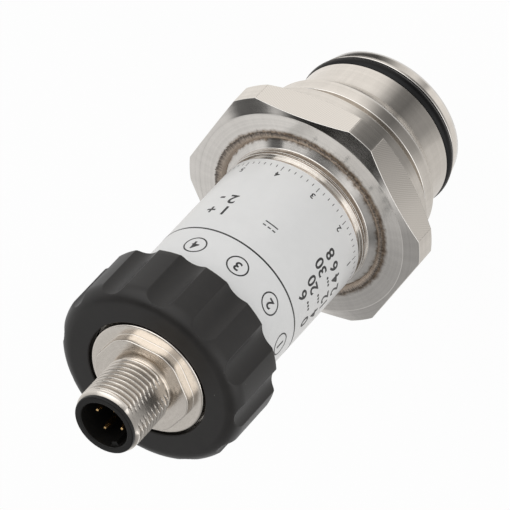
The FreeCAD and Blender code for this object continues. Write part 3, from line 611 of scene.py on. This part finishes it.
process = dict(
    noseRadius=14.0, noseRounding=1.3, noseTop=2.3, lipRadius=14.45, lipHeight=2.9,
    grooveRadius=12.5, grooveTop=5.4, barrelRadius=14.7, barrelTop=10.75,
    coneTop=13.65, collarRadius=16.7, collarTop=16.2,
    undercutRadius=15.6, undercutTop=18.9, shoulderRadius=18.7,
    hexRear=22.4, hexAcross=40.8, hexCorner=22.3, hexFaceRadius=19.75,
    hexRearRadius=20.0, frontAngle=20, rearAngle=30, edge=0.1,
    weldRadius=15.25, flangeRadius=15.0, weldRoot=27.9, neckSeat=26.9,
    pocketRadius=8.2, pocketFloor=17.0, diaphragmRadius=12.3, diaphragmSeat=0.45,
    sumpRadius=4.5, sumpDepth=1.0, oilBore=1.2, chamberRadius=11.7, chamberTop=0.95,
    burrReach=0.07, burrHeight=0.22,  # the fine raised edge under the collar
)


def processSection(angle):
    p = process
    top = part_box("process_connection")[1].z / mm
    edge = p["edge"]
    reach = hexRadius(angle, p["hexAcross"], p["hexCorner"], 0.05)
    rear = p["hexRear"] + (reach - p["hexRearRadius"]) * tan(radians(p["rearAngle"]))
    front = top - (reach - p["hexFaceRadius"]) * tan(radians(p["frontAngle"]))
    return rounded(p, [
        ("diaphragmRadius", 0.0, 0.05), ("noseRadius", 0.0, "noseRounding"),
        ("noseRadius", "noseTop", 0.05), ("lipRadius", "noseTop", 0.12),
        ("lipRadius", "lipHeight", 0.12), ("grooveRadius", "lipHeight", 0.15),
        ("grooveRadius", "grooveTop", 0.15), ("barrelRadius", "grooveTop", 0.16),
        ("barrelRadius", "barrelTop", 0.12), (p["collarRadius"] + p["burrReach"], "coneTop", 0.05),
        ("collarRadius", p["coneTop"] + p["burrHeight"], 0.04), ("collarRadius", "collarTop", 0.16),
        ("undercutRadius", "collarTop", 0.2), ("undercutRadius", "undercutTop", 0.2),
        ("shoulderRadius", "undercutTop", 0.2), ("shoulderRadius", "hexRear", 0.1),
        ("hexRearRadius", "hexRear", edge), (reach, rear, edge), (reach, front, edge),
        ("hexFaceRadius", top, edge), ("weldRadius", top), ("flangeRadius", "weldRoot"),
        ("flangeRadius", "neckSeat"), ("pocketRadius", "neckSeat"), ("pocketRadius", "pocketFloor"),
        ("sumpRadius", "pocketFloor"), ("sumpRadius", p["pocketFloor"] - p["sumpDepth"]),
        ("oilBore", p["pocketFloor"] - p["sumpDepth"]), ("oilBore", "chamberTop"),
        ("chamberRadius", "chamberTop"), ("chamberRadius", "diaphragmSeat"),
        ("diaphragmRadius", "diaphragmSeat"),
    ])


processAngles = withSteps(hexAngles(process["hexAcross"], process["hexCorner"]), 1.25)
addPiece("processBody", *spin(processSection, processAngles), "processSteel", "transmitter", "steel",
         ["process_connection"])

foil = dict(radius=12.3, under=0.15, thickness=0.3, pitch=1.8, depth=0.12, flatFrom=10.9,
            rimFade=0.4, middleFade=1.2, steps=84)


def foilSection(angle):
    # Rings of soft waves, calm at the middle and at the rim.
    f = foil
    under = []
    for index in range(f["steps"] + 1):
        radius = f["radius"] * index / f["steps"]
        wave = 0.5 - 0.5 * cos(2 * pi * radius / f["pitch"])
        calm = clamp((f["flatFrom"] - radius) / f["rimFade"]) * min(radius / f["middleFade"], 1)
        under.append((radius, f["under"] + f["depth"] * wave * calm))
    return under + [(radius, height + f["thickness"]) for radius, height in reversed(under)]


addPiece("diaphragmFoil", *spin(foilSection, roundAngles(96), loop=False), "foilSteel",
         "transmitter", "membrane", ["diaphragm"])
print("process connection: done")


neck = dict(
    flangeRadius=15.0, seat=26.9, flangeTop=28.5, bandRadius=13.45, bandBottom=29.45,
    bandTop=30.4, grooveRadius=13.15, rimBottom=30.7, rimTop=31.15,
    waistRadius=12.9, tubeSeat=32.35, spigotRadius=12.3, spigotTop=36.05, bore=10.5,
)


def neckSection(angle):
    return rounded(neck, [
        ("bore", "seat"), ("flangeRadius", "seat"), ("flangeRadius", "flangeTop", 0.1),
        ("bandRadius", "bandBottom", 0.15), ("bandRadius", "bandTop", 0.06),
        ("grooveRadius", "bandTop", 0.05), ("grooveRadius", "rimBottom", 0.05),
        ("bandRadius", "rimBottom", 0.06), ("bandRadius", "rimTop", 0.1),
        ("waistRadius", "rimTop", 0.06), ("waistRadius", "tubeSeat"), ("spigotRadius", "tubeSeat"),
        ("spigotRadius", "spigotTop"), ("bore", "spigotTop"),
    ])


addPiece("caseNeck", *spin(neckSection, roundAngles(144)), "neckSteel", "transmitter", "steel", ["case_neck"])


weld = dict(inner=14.75, outer=16.25, drift=0.6, driftAngle=63, tooth=0.3, crown=0.08,
            root=27.9, rootRadius=15.2, rootInner=15.0, face=28.7, flangeTop=28.5,
            slopeFrom=15.3, slopeWidth=0.5, scales=185, scaleDepth=0.03, rows=9)


def weldEdges(angle):
    # Outer and inner reach of the bead, and where it lies in its row of scales.
    w = weld
    turn = radians(angle)
    spot = Vector((cos(turn), sin(turn), 0))
    saw = angle * w["scales"] / 360 + noise.noise(spot * 9)
    ragged = noise.noise(spot * 25) * 0.2 + noise.noise(spot * 70) * 0.16
    drift = w["drift"] * cos(radians(angle - w["driftAngle"]))
    outer = w["outer"] + drift + (saw % 1 - 0.5) * w["tooth"] + ragged
    return outer, w["inner"] + noise.noise(spot * 18 + Vector((0, 0, 5))) * 0.22, saw


def weldSection(angle):
    # A shallow bead with a ragged rim, drawn in overlapping scales.
    w = weld
    outer, inner, saw = weldEdges(angle)
    section = [(outer, w["face"] - 0.02)]
    for step in range(1, w["rows"] + 1):
        share = step / w["rows"]
        radius = outer + (inner - outer) * share
        down = clamp((w["slopeFrom"] - radius) / w["slopeWidth"])
        base = w["face"] + (w["flangeTop"] - w["face"]) * down
        arch = sin(pi * min(share, 0.97)) ** 0.6 * w["crown"]
        ripple = (saw + share * 1.5) % 1 * w["scaleDepth"] * sin(pi * share)
        section.append((radius, base + arch + ripple))
    return [(w["rootInner"], w["root"]), (w["rootRadius"], w["root"])] + section


weldBead = addPiece("weldBead", *spin(weldSection, roundAngles(720)), "weldMetal",
                    "transmitter", "weld", ["weld_bead"])
across = weldBead.data.attributes.new("across", "FLOAT", "POINT")  # 0 at the outer rim, 1 at the inner
for vertex, value in zip(weldBead.data.vertices, across.data):
    outer, inner, _ = weldEdges(degrees(atan2(vertex.co.y, vertex.co.x)))
    value.value = (outer - vertex.co.xy.length / mm) / (outer - inner)


tube = dict(radius=13.35, bore=12.3, seat=32.35, reliefBottom=66.05, reliefRadius=12.6,
            threadBottom=67.05, threadCrest=13.0, threadDepth=0.42, threadPitch=1.5,
            top=72.65, upperBore=11.3, upperBoreBottom=65.65)


def tubeSection(angle):
    return rounded(tube, [
        ("reliefRadius", "threadBottom"), ("reliefRadius", "reliefBottom", 0.15),
        ("radius", "reliefBottom", 0.15), ("radius", "seat", 0.12), ("bore", "seat", 0.1),
        ("bore", "upperBoreBottom"), ("upperBore", "upperBoreBottom"), ("upperBore", "top"),
        (tube["threadCrest"] - tube["threadDepth"], "top"),
    ], loop=False)


roundSteps = roundAngles(144)
caseThread = threadedBarrel(roundSteps, tube["threadBottom"], tube["top"], tube["threadCrest"],
                            tube["threadDepth"], tube["threadPitch"], tube["reliefRadius"],
                            tube["threadCrest"] - tube["threadDepth"], 0.6)
addPiece("caseTube", *joined(spin(tubeSection, roundSteps, loop=False), caseThread), "tubeSteel",
         "transmitter", "steel", ["case_tube"])


sleeve = dict(inner=13.35, outer=13.5, bottom=32.65, top=65.85,
              seamAngle=84, seamWidth=9, seamSlope=0.3, seamStep=0.045)


def filmRadius(angle):
    # The film's end laps over its start, which leaves a low step along the back.
    s = sleeve
    past = (angle - s["seamAngle"]) % 360
    lap = clamp((s["seamWidth"] - past) / s["seamSlope"]) * clamp(past / s["seamSlope"])
    return s["outer"] + s["seamStep"] * lap


def sleeveSection(angle):
    outer = filmRadius(angle)
    return rounded(sleeve, [
        ("inner", "bottom"), (outer, "bottom", 0.04), (outer, "top", 0.04), ("inner", "top"),
    ])


seam = [sleeve["seamAngle"] + off for off in (0, 0.1, 0.2, 0.3, 8.7, 8.8, 8.9, 9.0)]
filmAngles = sorted(roundAngles(144) + seam)
addPiece("labelSleeve", *spin(sleeveSection, filmAngles), "labelFilm", "transmitter", "label",
         ["label_sleeve"])


# what is printed on the label: plain numbers, ticks and the direct current sign
ink = dict(
    thickness=0.012, step=0.5, lineHeight=53.1, lineWidth=0.34,
    rows=[("0 ... 6", -148, 49.6), ("4 ... 20", -148, 46.4), ("12 ... 30", -146, 43.2),
          ("2 4 6 8", -145, 40.0), ("1 +", -42, 47.6), ("2 -", -42, 44.4)],  # text, angle, height
    rowSize=2.3, signAngle=-83, signHeight=46.2, signGap=0.9, signWidth=2.5, signLine=0.24,
    dashWidth=0.6, dashStep=4.0,
    circles=4, circleStart=-155, circleStep=35, circleHeight=57.6,
    circleRadius=1.75, circleLine=0.26, circleSize=1.9,
    ticks=72, longEvery=6, tickWidth=0.12, longTick=(1.1, 34.15), shortTick=(0.6, 33.9),
    numbers=12, numberSize=1.15, numberHeight=35.75,
)


def wrapOnSleeve(mesh, angle, height):
    # Cuts a flat print into narrow strips and bends it round the sleeve.
    shape = bmesh.new()
    shape.from_mesh(mesh)
    reach = max(abs(vertex.co.x) for vertex in shape.verts)
    for index in range(-int(reach / ink["step"]) - 1, int(reach / ink["step"]) + 2):
        everything = shape.verts[:] + shape.edges[:] + shape.faces[:]
        bmesh.ops.bisect_plane(shape, geom=everything, plane_co=(index * ink["step"], 0, 0),
                               plane_no=(1, 0, 0))
    points = []
    for vertex in shape.verts:
        turn = radians(angle) + vertex.co.x / sleeve["outer"]
        radius = filmRadius(degrees(turn)) + vertex.co.z
        points.append((radius * cos(turn), radius * sin(turn), height + vertex.co.y))
    shape.verts.index_update()
    faces = [tuple(vertex.index for vertex in face.verts) for face in shape.faces]
    shape.free()
    return points, faces


def textPrint(text, size, angle, height):
    # One line of print that reads upright, centred at an angle and a height.
    curve = bpy.data.curves.new("print", "FONT")
    curve.body = text
    curve.size = size * 1.4
    curve.extrude = ink["thickness"] / 2
    curve.offset = 0.03 * size
    curve.align_x, curve.align_y = "CENTER", "CENTER"
    curve.resolution_u = 4
    line = linked("print", curve)
    bpy.context.view_layer.update()
    mesh = bpy.data.meshes.new_from_object(line.evaluated_get(bpy.context.evaluated_depsgraph_get()))
    bpy.data.objects.remove(line)
    for vertex in mesh.vertices:
        vertex.co.z += ink["thickness"] / 2
    return wrapOnSleeve(mesh, angle, height)


def barPrint(width, tall, angle, height):
    shape = bmesh.new()
    bmesh.ops.create_cube(shape, size=1)
    for vertex in shape.verts:
        vertex.co = Vector((vertex.co.x * width, vertex.co.y * tall, (vertex.co.z + 0.5) * ink["thickness"]))
    mesh = bpy.data.meshes.new("bar")
    shape.to_mesh(mesh)
    shape.free()
    return wrapOnSleeve(mesh, angle, height)


def circlePrint(radius, width, angle, height):
    count = 40
    points, faces = [], []
    for index in range(count):
        turn = 2 * pi * index / count
        for reach in (radius, radius + width):
            for lift in (0, ink["thickness"]):
                points.append((reach * cos(turn), reach * sin(turn), lift))
    for index in range(count):
        here, there = 4 * index, 4 * ((index + 1) % count)
        for first, second in ((0, 1), (1, 3), (3, 2), (2, 0)):
            faces.append((here + first, here + second, there + second, there + first))
    mesh = bpy.data.meshes.new("circle")
    mesh.from_pydata(points, [], faces)
    return wrapOnSleeve(mesh, angle, height)


def ringPrint(height, width):
    def section(angle):
        low = filmRadius(angle)
        high = low + ink["thickness"]
        return [(low, height - width / 2), (high, height - width / 2),
                (high, height + width / 2), (low, height + width / 2)]
    return spin(section, filmAngles)


def circledNumber(number):
    angle = ink["circleStart"] + ink["circleStep"] * (number - 1)
    return [circlePrint(ink["circleRadius"], ink["circleLine"], angle, ink["circleHeight"]),
            textPrint(str(number), ink["circleSize"], angle, ink["circleHeight"])]


def tick(index):
    tall, height = ink["shortTick"] if index % ink["longEvery"] else ink["longTick"]
    return barPrint(ink["tickWidth"], tall, 360 * index / ink["ticks"], height)


prints = [ringPrint(ink["lineHeight"], ink["lineWidth"])]
for text, angle, height in ink["rows"]:
    prints.append(textPrint(text, ink["rowSize"], angle, height))
prints.append(barPrint(ink["signWidth"], ink["signLine"], ink["signAngle"], ink["signHeight"]))
for step in (-1, 0, 1):
    prints.append(barPrint(ink["dashWidth"], ink["signLine"], ink["signAngle"] + step * ink["dashStep"],
                           ink["signHeight"] + ink["signGap"]))
for number in range(1, ink["circles"] + 1):
    prints += circledNumber(number)
prints += [tick(index) for index in range(ink["ticks"])]
for number in range(ink["numbers"]):
    prints.append(textPrint(str(number), ink["numberSize"], 360 * number / ink["numbers"] - 180,
                            ink["numberHeight"]))
addPiece("labelPrint", *joined(*prints), "printInk", "transmitter", "label")
print("case: done, with", len(prints), "prints")


shell = dict(
    spigotRadius=11.2, spigotBottom=71.95, baseBottom=73.35, baseRadius=12.9, baseTop=74.65,
    discRadius=10.6, discTop=76.9, discEdge=0.28, nutAcross=16.8, nutCorner=8.85,
    nutTop=78.7, nutEdge=0.16, reliefRadius=5.4, reliefTop=79.3, threadCrest=6.0,
    threadDepth=0.58, threadPitch=1.0, threadTop=88.3, endRadius=5.42, top=89.15,
    bore=4.95, flangeBore=6.5, flangeTop=76.25, turn=-7.0,
    flatReach=5.38, flatAngle=61.0, endTaper=0.5, crestBevel=0.06,
)


def partingReach(angle):
    # Two flats run along the thread, where the halves of the casting mould met.
    off = (angle - shell["flatAngle"] + 90) % 180 - 90
    return shell["flatReach"] / cos(radians(min(abs(off), 45)))


def shellSection(angle):
    s = shell
    reach = hexRadius(angle, s["nutAcross"], s["nutCorner"], 0.35)
    end = min(s["threadCrest"] - s["crestBevel"], partingReach(angle))
    return rounded(s, [
        (end, "threadTop"), (end, s["top"] - s["endTaper"], 0.1),
        (min(s["endRadius"], end - 0.1), "top", 0.05), ("bore", "top"), ("bore", "flangeTop"),
        ("flangeBore", "flangeTop"), ("flangeBore", "spigotBottom"),
        ("spigotRadius", "spigotBottom", 0.15), ("spigotRadius", "baseBottom"),
        ("baseRadius", "baseBottom", 0.1), ("baseRadius", "baseTop", 0.1),
        ("discRadius", "baseTop", 0.1), ("discRadius", "discTop", "discEdge"),
        (reach, "discTop", 0.12), (reach, "nutTop", "nutEdge"), ("reliefRadius", "nutTop", 0.12),
        (min(s["reliefRadius"], partingReach(angle)), "reliefTop"),
    ], loop=False)


nutAngles = withSteps(hexAngles(shell["nutAcross"], shell["nutCorner"]), 1.5)
plugThread = threadedBarrel(nutAngles, shell["reliefTop"], shell["threadTop"], shell["threadCrest"],
                            shell["threadDepth"], shell["threadPitch"], shell["reliefRadius"],
                            shell["threadCrest"] - shell["crestBevel"], 0.35, perTurn=14, limit=partingReach)


def turned(shape, angle):
    turn = radians(angle)
    points = [(x * cos(turn) - y * sin(turn), x * sin(turn) + y * cos(turn), z)
              for x, y, z in shape[0]]
    return points, shape[1]


shellShape = joined(spin(shellSection, nutAngles, loop=False), plugThread)
addPiece("connectorShell", *turned(shellShape, shell["turn"]), "nickelPlate", "transmitter", "nickel",
         ["connector_shell"])


insert = dict(
    tailRadius=4.6, tailBottom=73.45, flangeRadius=6.5, flangeBottom=74.65, flangeTop=76.25,
    radius=4.95, shellTop=89.15, lipRadius=5.55, top=89.85, socketRadius=4.35,
    floor=81.05, keyWidth=1.3, keyReach=0.65, keyTop=89.25, keyAngle=141.7,
)


def insertSection(angle):
    i = insert
    off = (angle - i["keyAngle"] + 180) % 360 - 180
    halfKey = degrees(i["keyWidth"] / 2 / i["socketRadius"])
    share = clamp((halfKey + 2 - abs(off)) / 4)
    key = i["keyReach"] * share * share * (3 - 2 * share)
    return rounded(i, [
        (0.0, "tailBottom"), ("tailRadius", "tailBottom", 0.15), ("tailRadius", "flangeBottom"),
        ("flangeRadius", "flangeBottom"), ("flangeRadius", "flangeTop"), ("radius", "flangeTop"),
        ("radius", "shellTop"), ("lipRadius", "shellTop", 0.08), ("lipRadius", "top", 0.25),
        ("socketRadius", "top", 0.2), ("socketRadius", "keyTop", 0.02),
        (i["socketRadius"] - key - 0.001, i["keyTop"] - 0.01 - key * 0.25, 0.01),
        (i["socketRadius"] - key, "floor", 0.1), (0.0, "floor"),
    ], loop=False)


keyAngles = [insert["keyAngle"] + 0.75 * step for step in range(-20, 21)]
plainAngles = [angle for angle in roundAngles(96) if abs(angle - insert["keyAngle"]) > 16]
insertShape = spin(insertSection, sorted(plainAngles + keyAngles), loop=False)
addPiece("connectorInsert", *insertShape, "insertPlastic", "transmitter", "insert", ["connector_insert"])


pin = dict(radius=0.5, tipRadius=0.24, tipLength=1.0, circle=2.5, cupRadius=0.65,
           bottom=72.45, cupTop=74.65, top=88.15, turn=6.7)
pinSection = rounded(pin, [
    (0.0, "bottom"), ("cupRadius", "bottom", 0.05), ("cupRadius", "cupTop", 0.05),
    ("radius", "cupTop"), ("radius", pin["top"] - pin["tipLength"], 0.3),
    ("tipRadius", "top", 0.08), (0.0, "top"),
], steps=5, loop=False)
for number in range(1, 5):
    turn = radians(pin["turn"] + 90 * (number - 1))
    right, ahead = pin["circle"] * cos(turn), pin["circle"] * sin(turn)
    points, faces = spin(lambda angle: pinSection, roundAngles(28), loop=False)
    points = [(x + right, y + ahead, z) for x, y, z in points]
    addPiece(f"contactPin{number}", points, faces, "goldPlate", "transmitter", "gold",
             [f"contact_pin_{number}"])
print("connector: done")


union = dict(
    radius=17.2, bottom=64.65, top=76.95, shoulder=2.7, hole=11.1, lipBottom=75.05,
    bore=13.05, skirtBore=13.75, skirtTop=66.85, flutes=12, fluteDepth=1.0,
    fluteRadius=4.1, fluteTurn=-6.3, bottomEdge=0.35, softness=0.045, columns=960,
)


def fluteReach(angle):
    # How far out the body may stand where a round cutter has passed.
    u = union
    apart = 360 / u["flutes"]
    off = radians((angle - u["fluteTurn"] + apart / 2) % apart - apart / 2)
    centre = u["radius"] - u["fluteDepth"] + u["fluteRadius"]
    inside = u["fluteRadius"] ** 2 - (centre * sin(off)) ** 2
    if inside <= 0:
        return u["radius"] + 2
    return centre * cos(off) - sqrt(inside)


def unionSection(angle):
    u = union
    limit = fluteReach(angle)
    edge = u["bottomEdge"]
    low, high = u["bottom"] + edge, u["top"] - u["shoulder"]
    outer = [(u["radius"] - edge + edge * sin(radians(30 * step)),
              low - edge * cos(radians(30 * step))) for step in range(3)]
    outer += [(u["radius"], low + (high - low) * step / 10) for step in range(11)]
    for step in range(1, 19):
        turn = radians(5 * step)
        outer.append((u["radius"] - u["shoulder"] * (1 - cos(turn)),
                      u["top"] - u["shoulder"] * (1 - sin(turn))))
    outer = [(softMin(radius, limit, u["softness"]), height) for radius, height in outer]
    inner = rounded(u, [
        (outer[-1][0], "top"), ("hole", "top", 0.18), ("hole", "lipBottom", 0.08),
        ("bore", "lipBottom"), ("bore", "skirtTop", 0.1), ("skirtBore", "skirtTop", 0.1),
        ("skirtBore", "bottom", 0.15), (outer[0][0], "bottom"),
    ], loop=False)
    return outer + inner[1:-1]


unionAngles = [union["fluteTurn"] + angle for angle in roundAngles(union["columns"])]
addPiece("unionRing", *spin(unionSection, unionAngles), "unionPlastic", "union_ring", "union", ["union_ring"])
print("union ring: done")


# finishes of the nodes that keep their own shape
nodeFinish = dict(
    process_o_ring="ringRubber", case_seal="ringRubber", slip_washer="washerSteel",
    sensor_header="headerSteel", seal_ball="headerSteel", sensor_chip="chipSilicon",
    board_carrier="carrierNylon", main_board="boardMask", terminal_board="boardMask",
    amplifier_chip="packageEpoxy", converter_chip="packageEpoxy", driver_chip="packageEpoxy",
    smoothing_capacitor="canAluminium", sensor_flex="flexPolyimide",
    zero_trimmer="trimmerPlastic", span_trimmer="trimmerPlastic",
    zero_trimmer_screw="brassScrew", span_trimmer_screw="brassScrew",
)
nodeFinish.update({f"sensor_pin_{number}": "goldPlate" for number in range(1, 5)})
nodeFinish.update({f"lead_wire_{number}": "wireSleeve" for number in range(1, 5)})
for name, material in nodeFinish.items():
    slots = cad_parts[name].data.materials
    slots.clear()
    slots.append(finish[material])
print("kept nodes:", len(nodeFinish))


studio = dict(
    floorSize=6.0, floorColor=(0.93, 0.93, 0.93), floorGlow=0.96, plainFloor=(0.9, 0.9, 0.9),
    floorShades=[  # angle and shade that the metal mirrors from the floor near it
        (-179, 0.70), (-150, 0.68), (-141, 0.64), (-138, 0.53), (-131, 0.43), (-126, 0.33), (-110, 0.29),
        (-96, 0.14), (-85, 0.20), (-77, 0.48), (-68, 0.86), (-58, 1.02), (10, 0.95), (60, 0.80), (142, 0.72)],
    shadesFrom=(16.3, 17.2), shadesReach=(60, 90),  # mm
    lipShades=[  # the same for the front lip, which mirrors the floor next to it
        (-179, 0.88), (-135, 0.88), (-115, 1.0), (-101, 0.95), (-96, 0.45), (-92, 0.60), (-85, 0.95),
        (-72, 0.75), (-62, 0.30), (-52, 0.06), (-26, 0.06), (-10, 0.35), (10, 0.5)],
    lipFrom=(14.3, 14.9), shadeTint=(1.0, 0.97, 0.93),
    worldLight=0.46, skyShade=0.88,
    skyPatches=[  # azimuth from +X, elevation, inner and outer spread, share of light that is left
        (30, 80, 16, 25, 0.02), (8, 50, 9, 18, 0.12), (47, 48, 5, 11, 0.10), (128, 30, 20, 42, 0.42),
        (175, 52, 12, 28, 0.45), (-92, 42, 12, 30, 0.65), (62, 26, 15, 36, 0.84)],
    lampTarget=(0, 0, 0.045),
    lamps=[  # name, azimuth, elevation, distance, size, power
        ("keyLamp", 48, 30, 1.1, 1.45, 5.8),
        ("sideLamp", -60, 28, 1.1, 0.9, 2.3),
    ],
)


def seenRays(tree):
    # 1 for rays from the camera, or off gloss and through glass.
    path = addNode(tree, "LightPath").outputs
    return calc(tree, "MAXIMUM", path["Is Camera Ray"],
                calc(tree, "MAXIMUM", path["Is Glossy Ray"], path["Is Transmission Ray"]))


def cameraRays(tree):
    return addNode(tree, "LightPath").outputs["Is Camera Ray"]


def shadesRound(tree, angle, shades):
    # A slightly warm grey that changes with the angle.
    ramp = addNode(tree, "ValToRGB", {"Fac": calc(tree, "ADD", angle, 0.5)})
    stops = ramp.color_ramp.elements
    while len(stops) < len(shades):
        stops.new(0.5)
    for stop, (turn, shade) in zip(stops, shades):
        stop.position = turn / 360 + 0.5
        stop.color = (*[shade * part for part in studio["shadeTint"]], 1)
    return ramp.outputs[0]


def makeFloor():
    # Plain and pale. Near the object the metal mirrors it in soft shades, as from a studio table.
    half = studio["floorSize"] / 2
    mesh = bpy.data.meshes.new("floor")
    corners = [(-half, -half, 0), (half, -half, 0), (half, half, 0), (-half, half, 0)]
    mesh.from_pydata(corners, [], [(0, 1, 2, 3)])
    floor = linked("floor", mesh)
    material = bpy.data.materials.new("paleFloor")
    material.use_nodes = True
    tree = material.node_tree
    tree.nodes.clear()
    at = useGroup(tree, axisGroup)
    lip = blendColor(tree, spread(tree, at["Radius"], *studio["lipFrom"]), studio["plainFloor"],
                     shadesRound(tree, at["Angle"], studio["lipShades"]))
    table = shadesRound(tree, at["Angle"], studio["floorShades"])
    near = blendColor(tree, spread(tree, at["Radius"], *studio["shadesFrom"]), lip, table)
    mirrored = blendColor(tree, spread(tree, at["Radius"], *studio["shadesReach"]), near,
                          studio["plainFloor"])
    shade = blendColor(tree, cameraRays(tree), mirrored, (1, 1, 1))
    diffuse = addNode(tree, "BsdfDiffuse", {"Color": (*studio["floorColor"], 1)}).outputs[0]
    glow = addNode(tree, "Emission", {"Color": shade, "Strength": 1.0}).outputs[0]
    amount = times(tree, seenRays(tree), studio["floorGlow"])
    lit = addNode(tree, "MixShader", {0: amount, 1: diffuse, 2: glow}).outputs[0]
    clear = addNode(tree, "BsdfTransparent").outputs[0]
    under = addNode(tree, "NewGeometry").outputs["Backfacing"]
    shown = addNode(tree, "MixShader", {0: under, 1: lit, 2: clear}).outputs[0]
    tree.links.new(shown, addNode(tree, "OutputMaterial").inputs["Surface"])
    mesh.materials.append(material)


def makeWorld():
    # A white surround with a few dimmer patches, which give the metal its contrast.
    world = bpy.data.worlds.new("studio")
    bpy.context.scene.world = world
    world.use_nodes = True
    tree = world.node_tree
    direction = addNode(tree, "TexCoord").outputs["Generated"]
    seen = studio["skyShade"]
    for azimuth, elevation, inner, outer, left in studio["skyPatches"]:
        near = addNode(tree, "VectorMath", {0: direction, 1: outward(azimuth + 90, elevation)},
                       operation="DOT_PRODUCT").outputs["Value"]
        patch = spread(tree, near, cos(radians(outer)), cos(radians(inner)), 1.0, left)
        seen = times(tree, seen, patch)
    seen = mixed(tree, cameraRays(tree), seen, 1.0)
    strength = mixed(tree, seenRays(tree), studio["worldLight"], seen)
    background = tree.nodes["Background"]
    background.inputs["Color"].default_value = (1, 1, 1, 1)
    tree.links.new(strength, background.inputs["Strength"])


def makeLamp(name, azimuth, elevation, distance, size, power):
    lamp = bpy.data.lights.new(name, "AREA")
    lamp.shape, lamp.size, lamp.energy = "SQUARE", size, power
    aim(linked(name, lamp), studio["lampTarget"], azimuth, elevation, distance)


makeFloor()
makeWorld()
for lampValues in studio["lamps"]:
    makeLamp(*lampValues)
bpy.context.scene.view_settings.view_transform = "Standard"
print("studio: done")
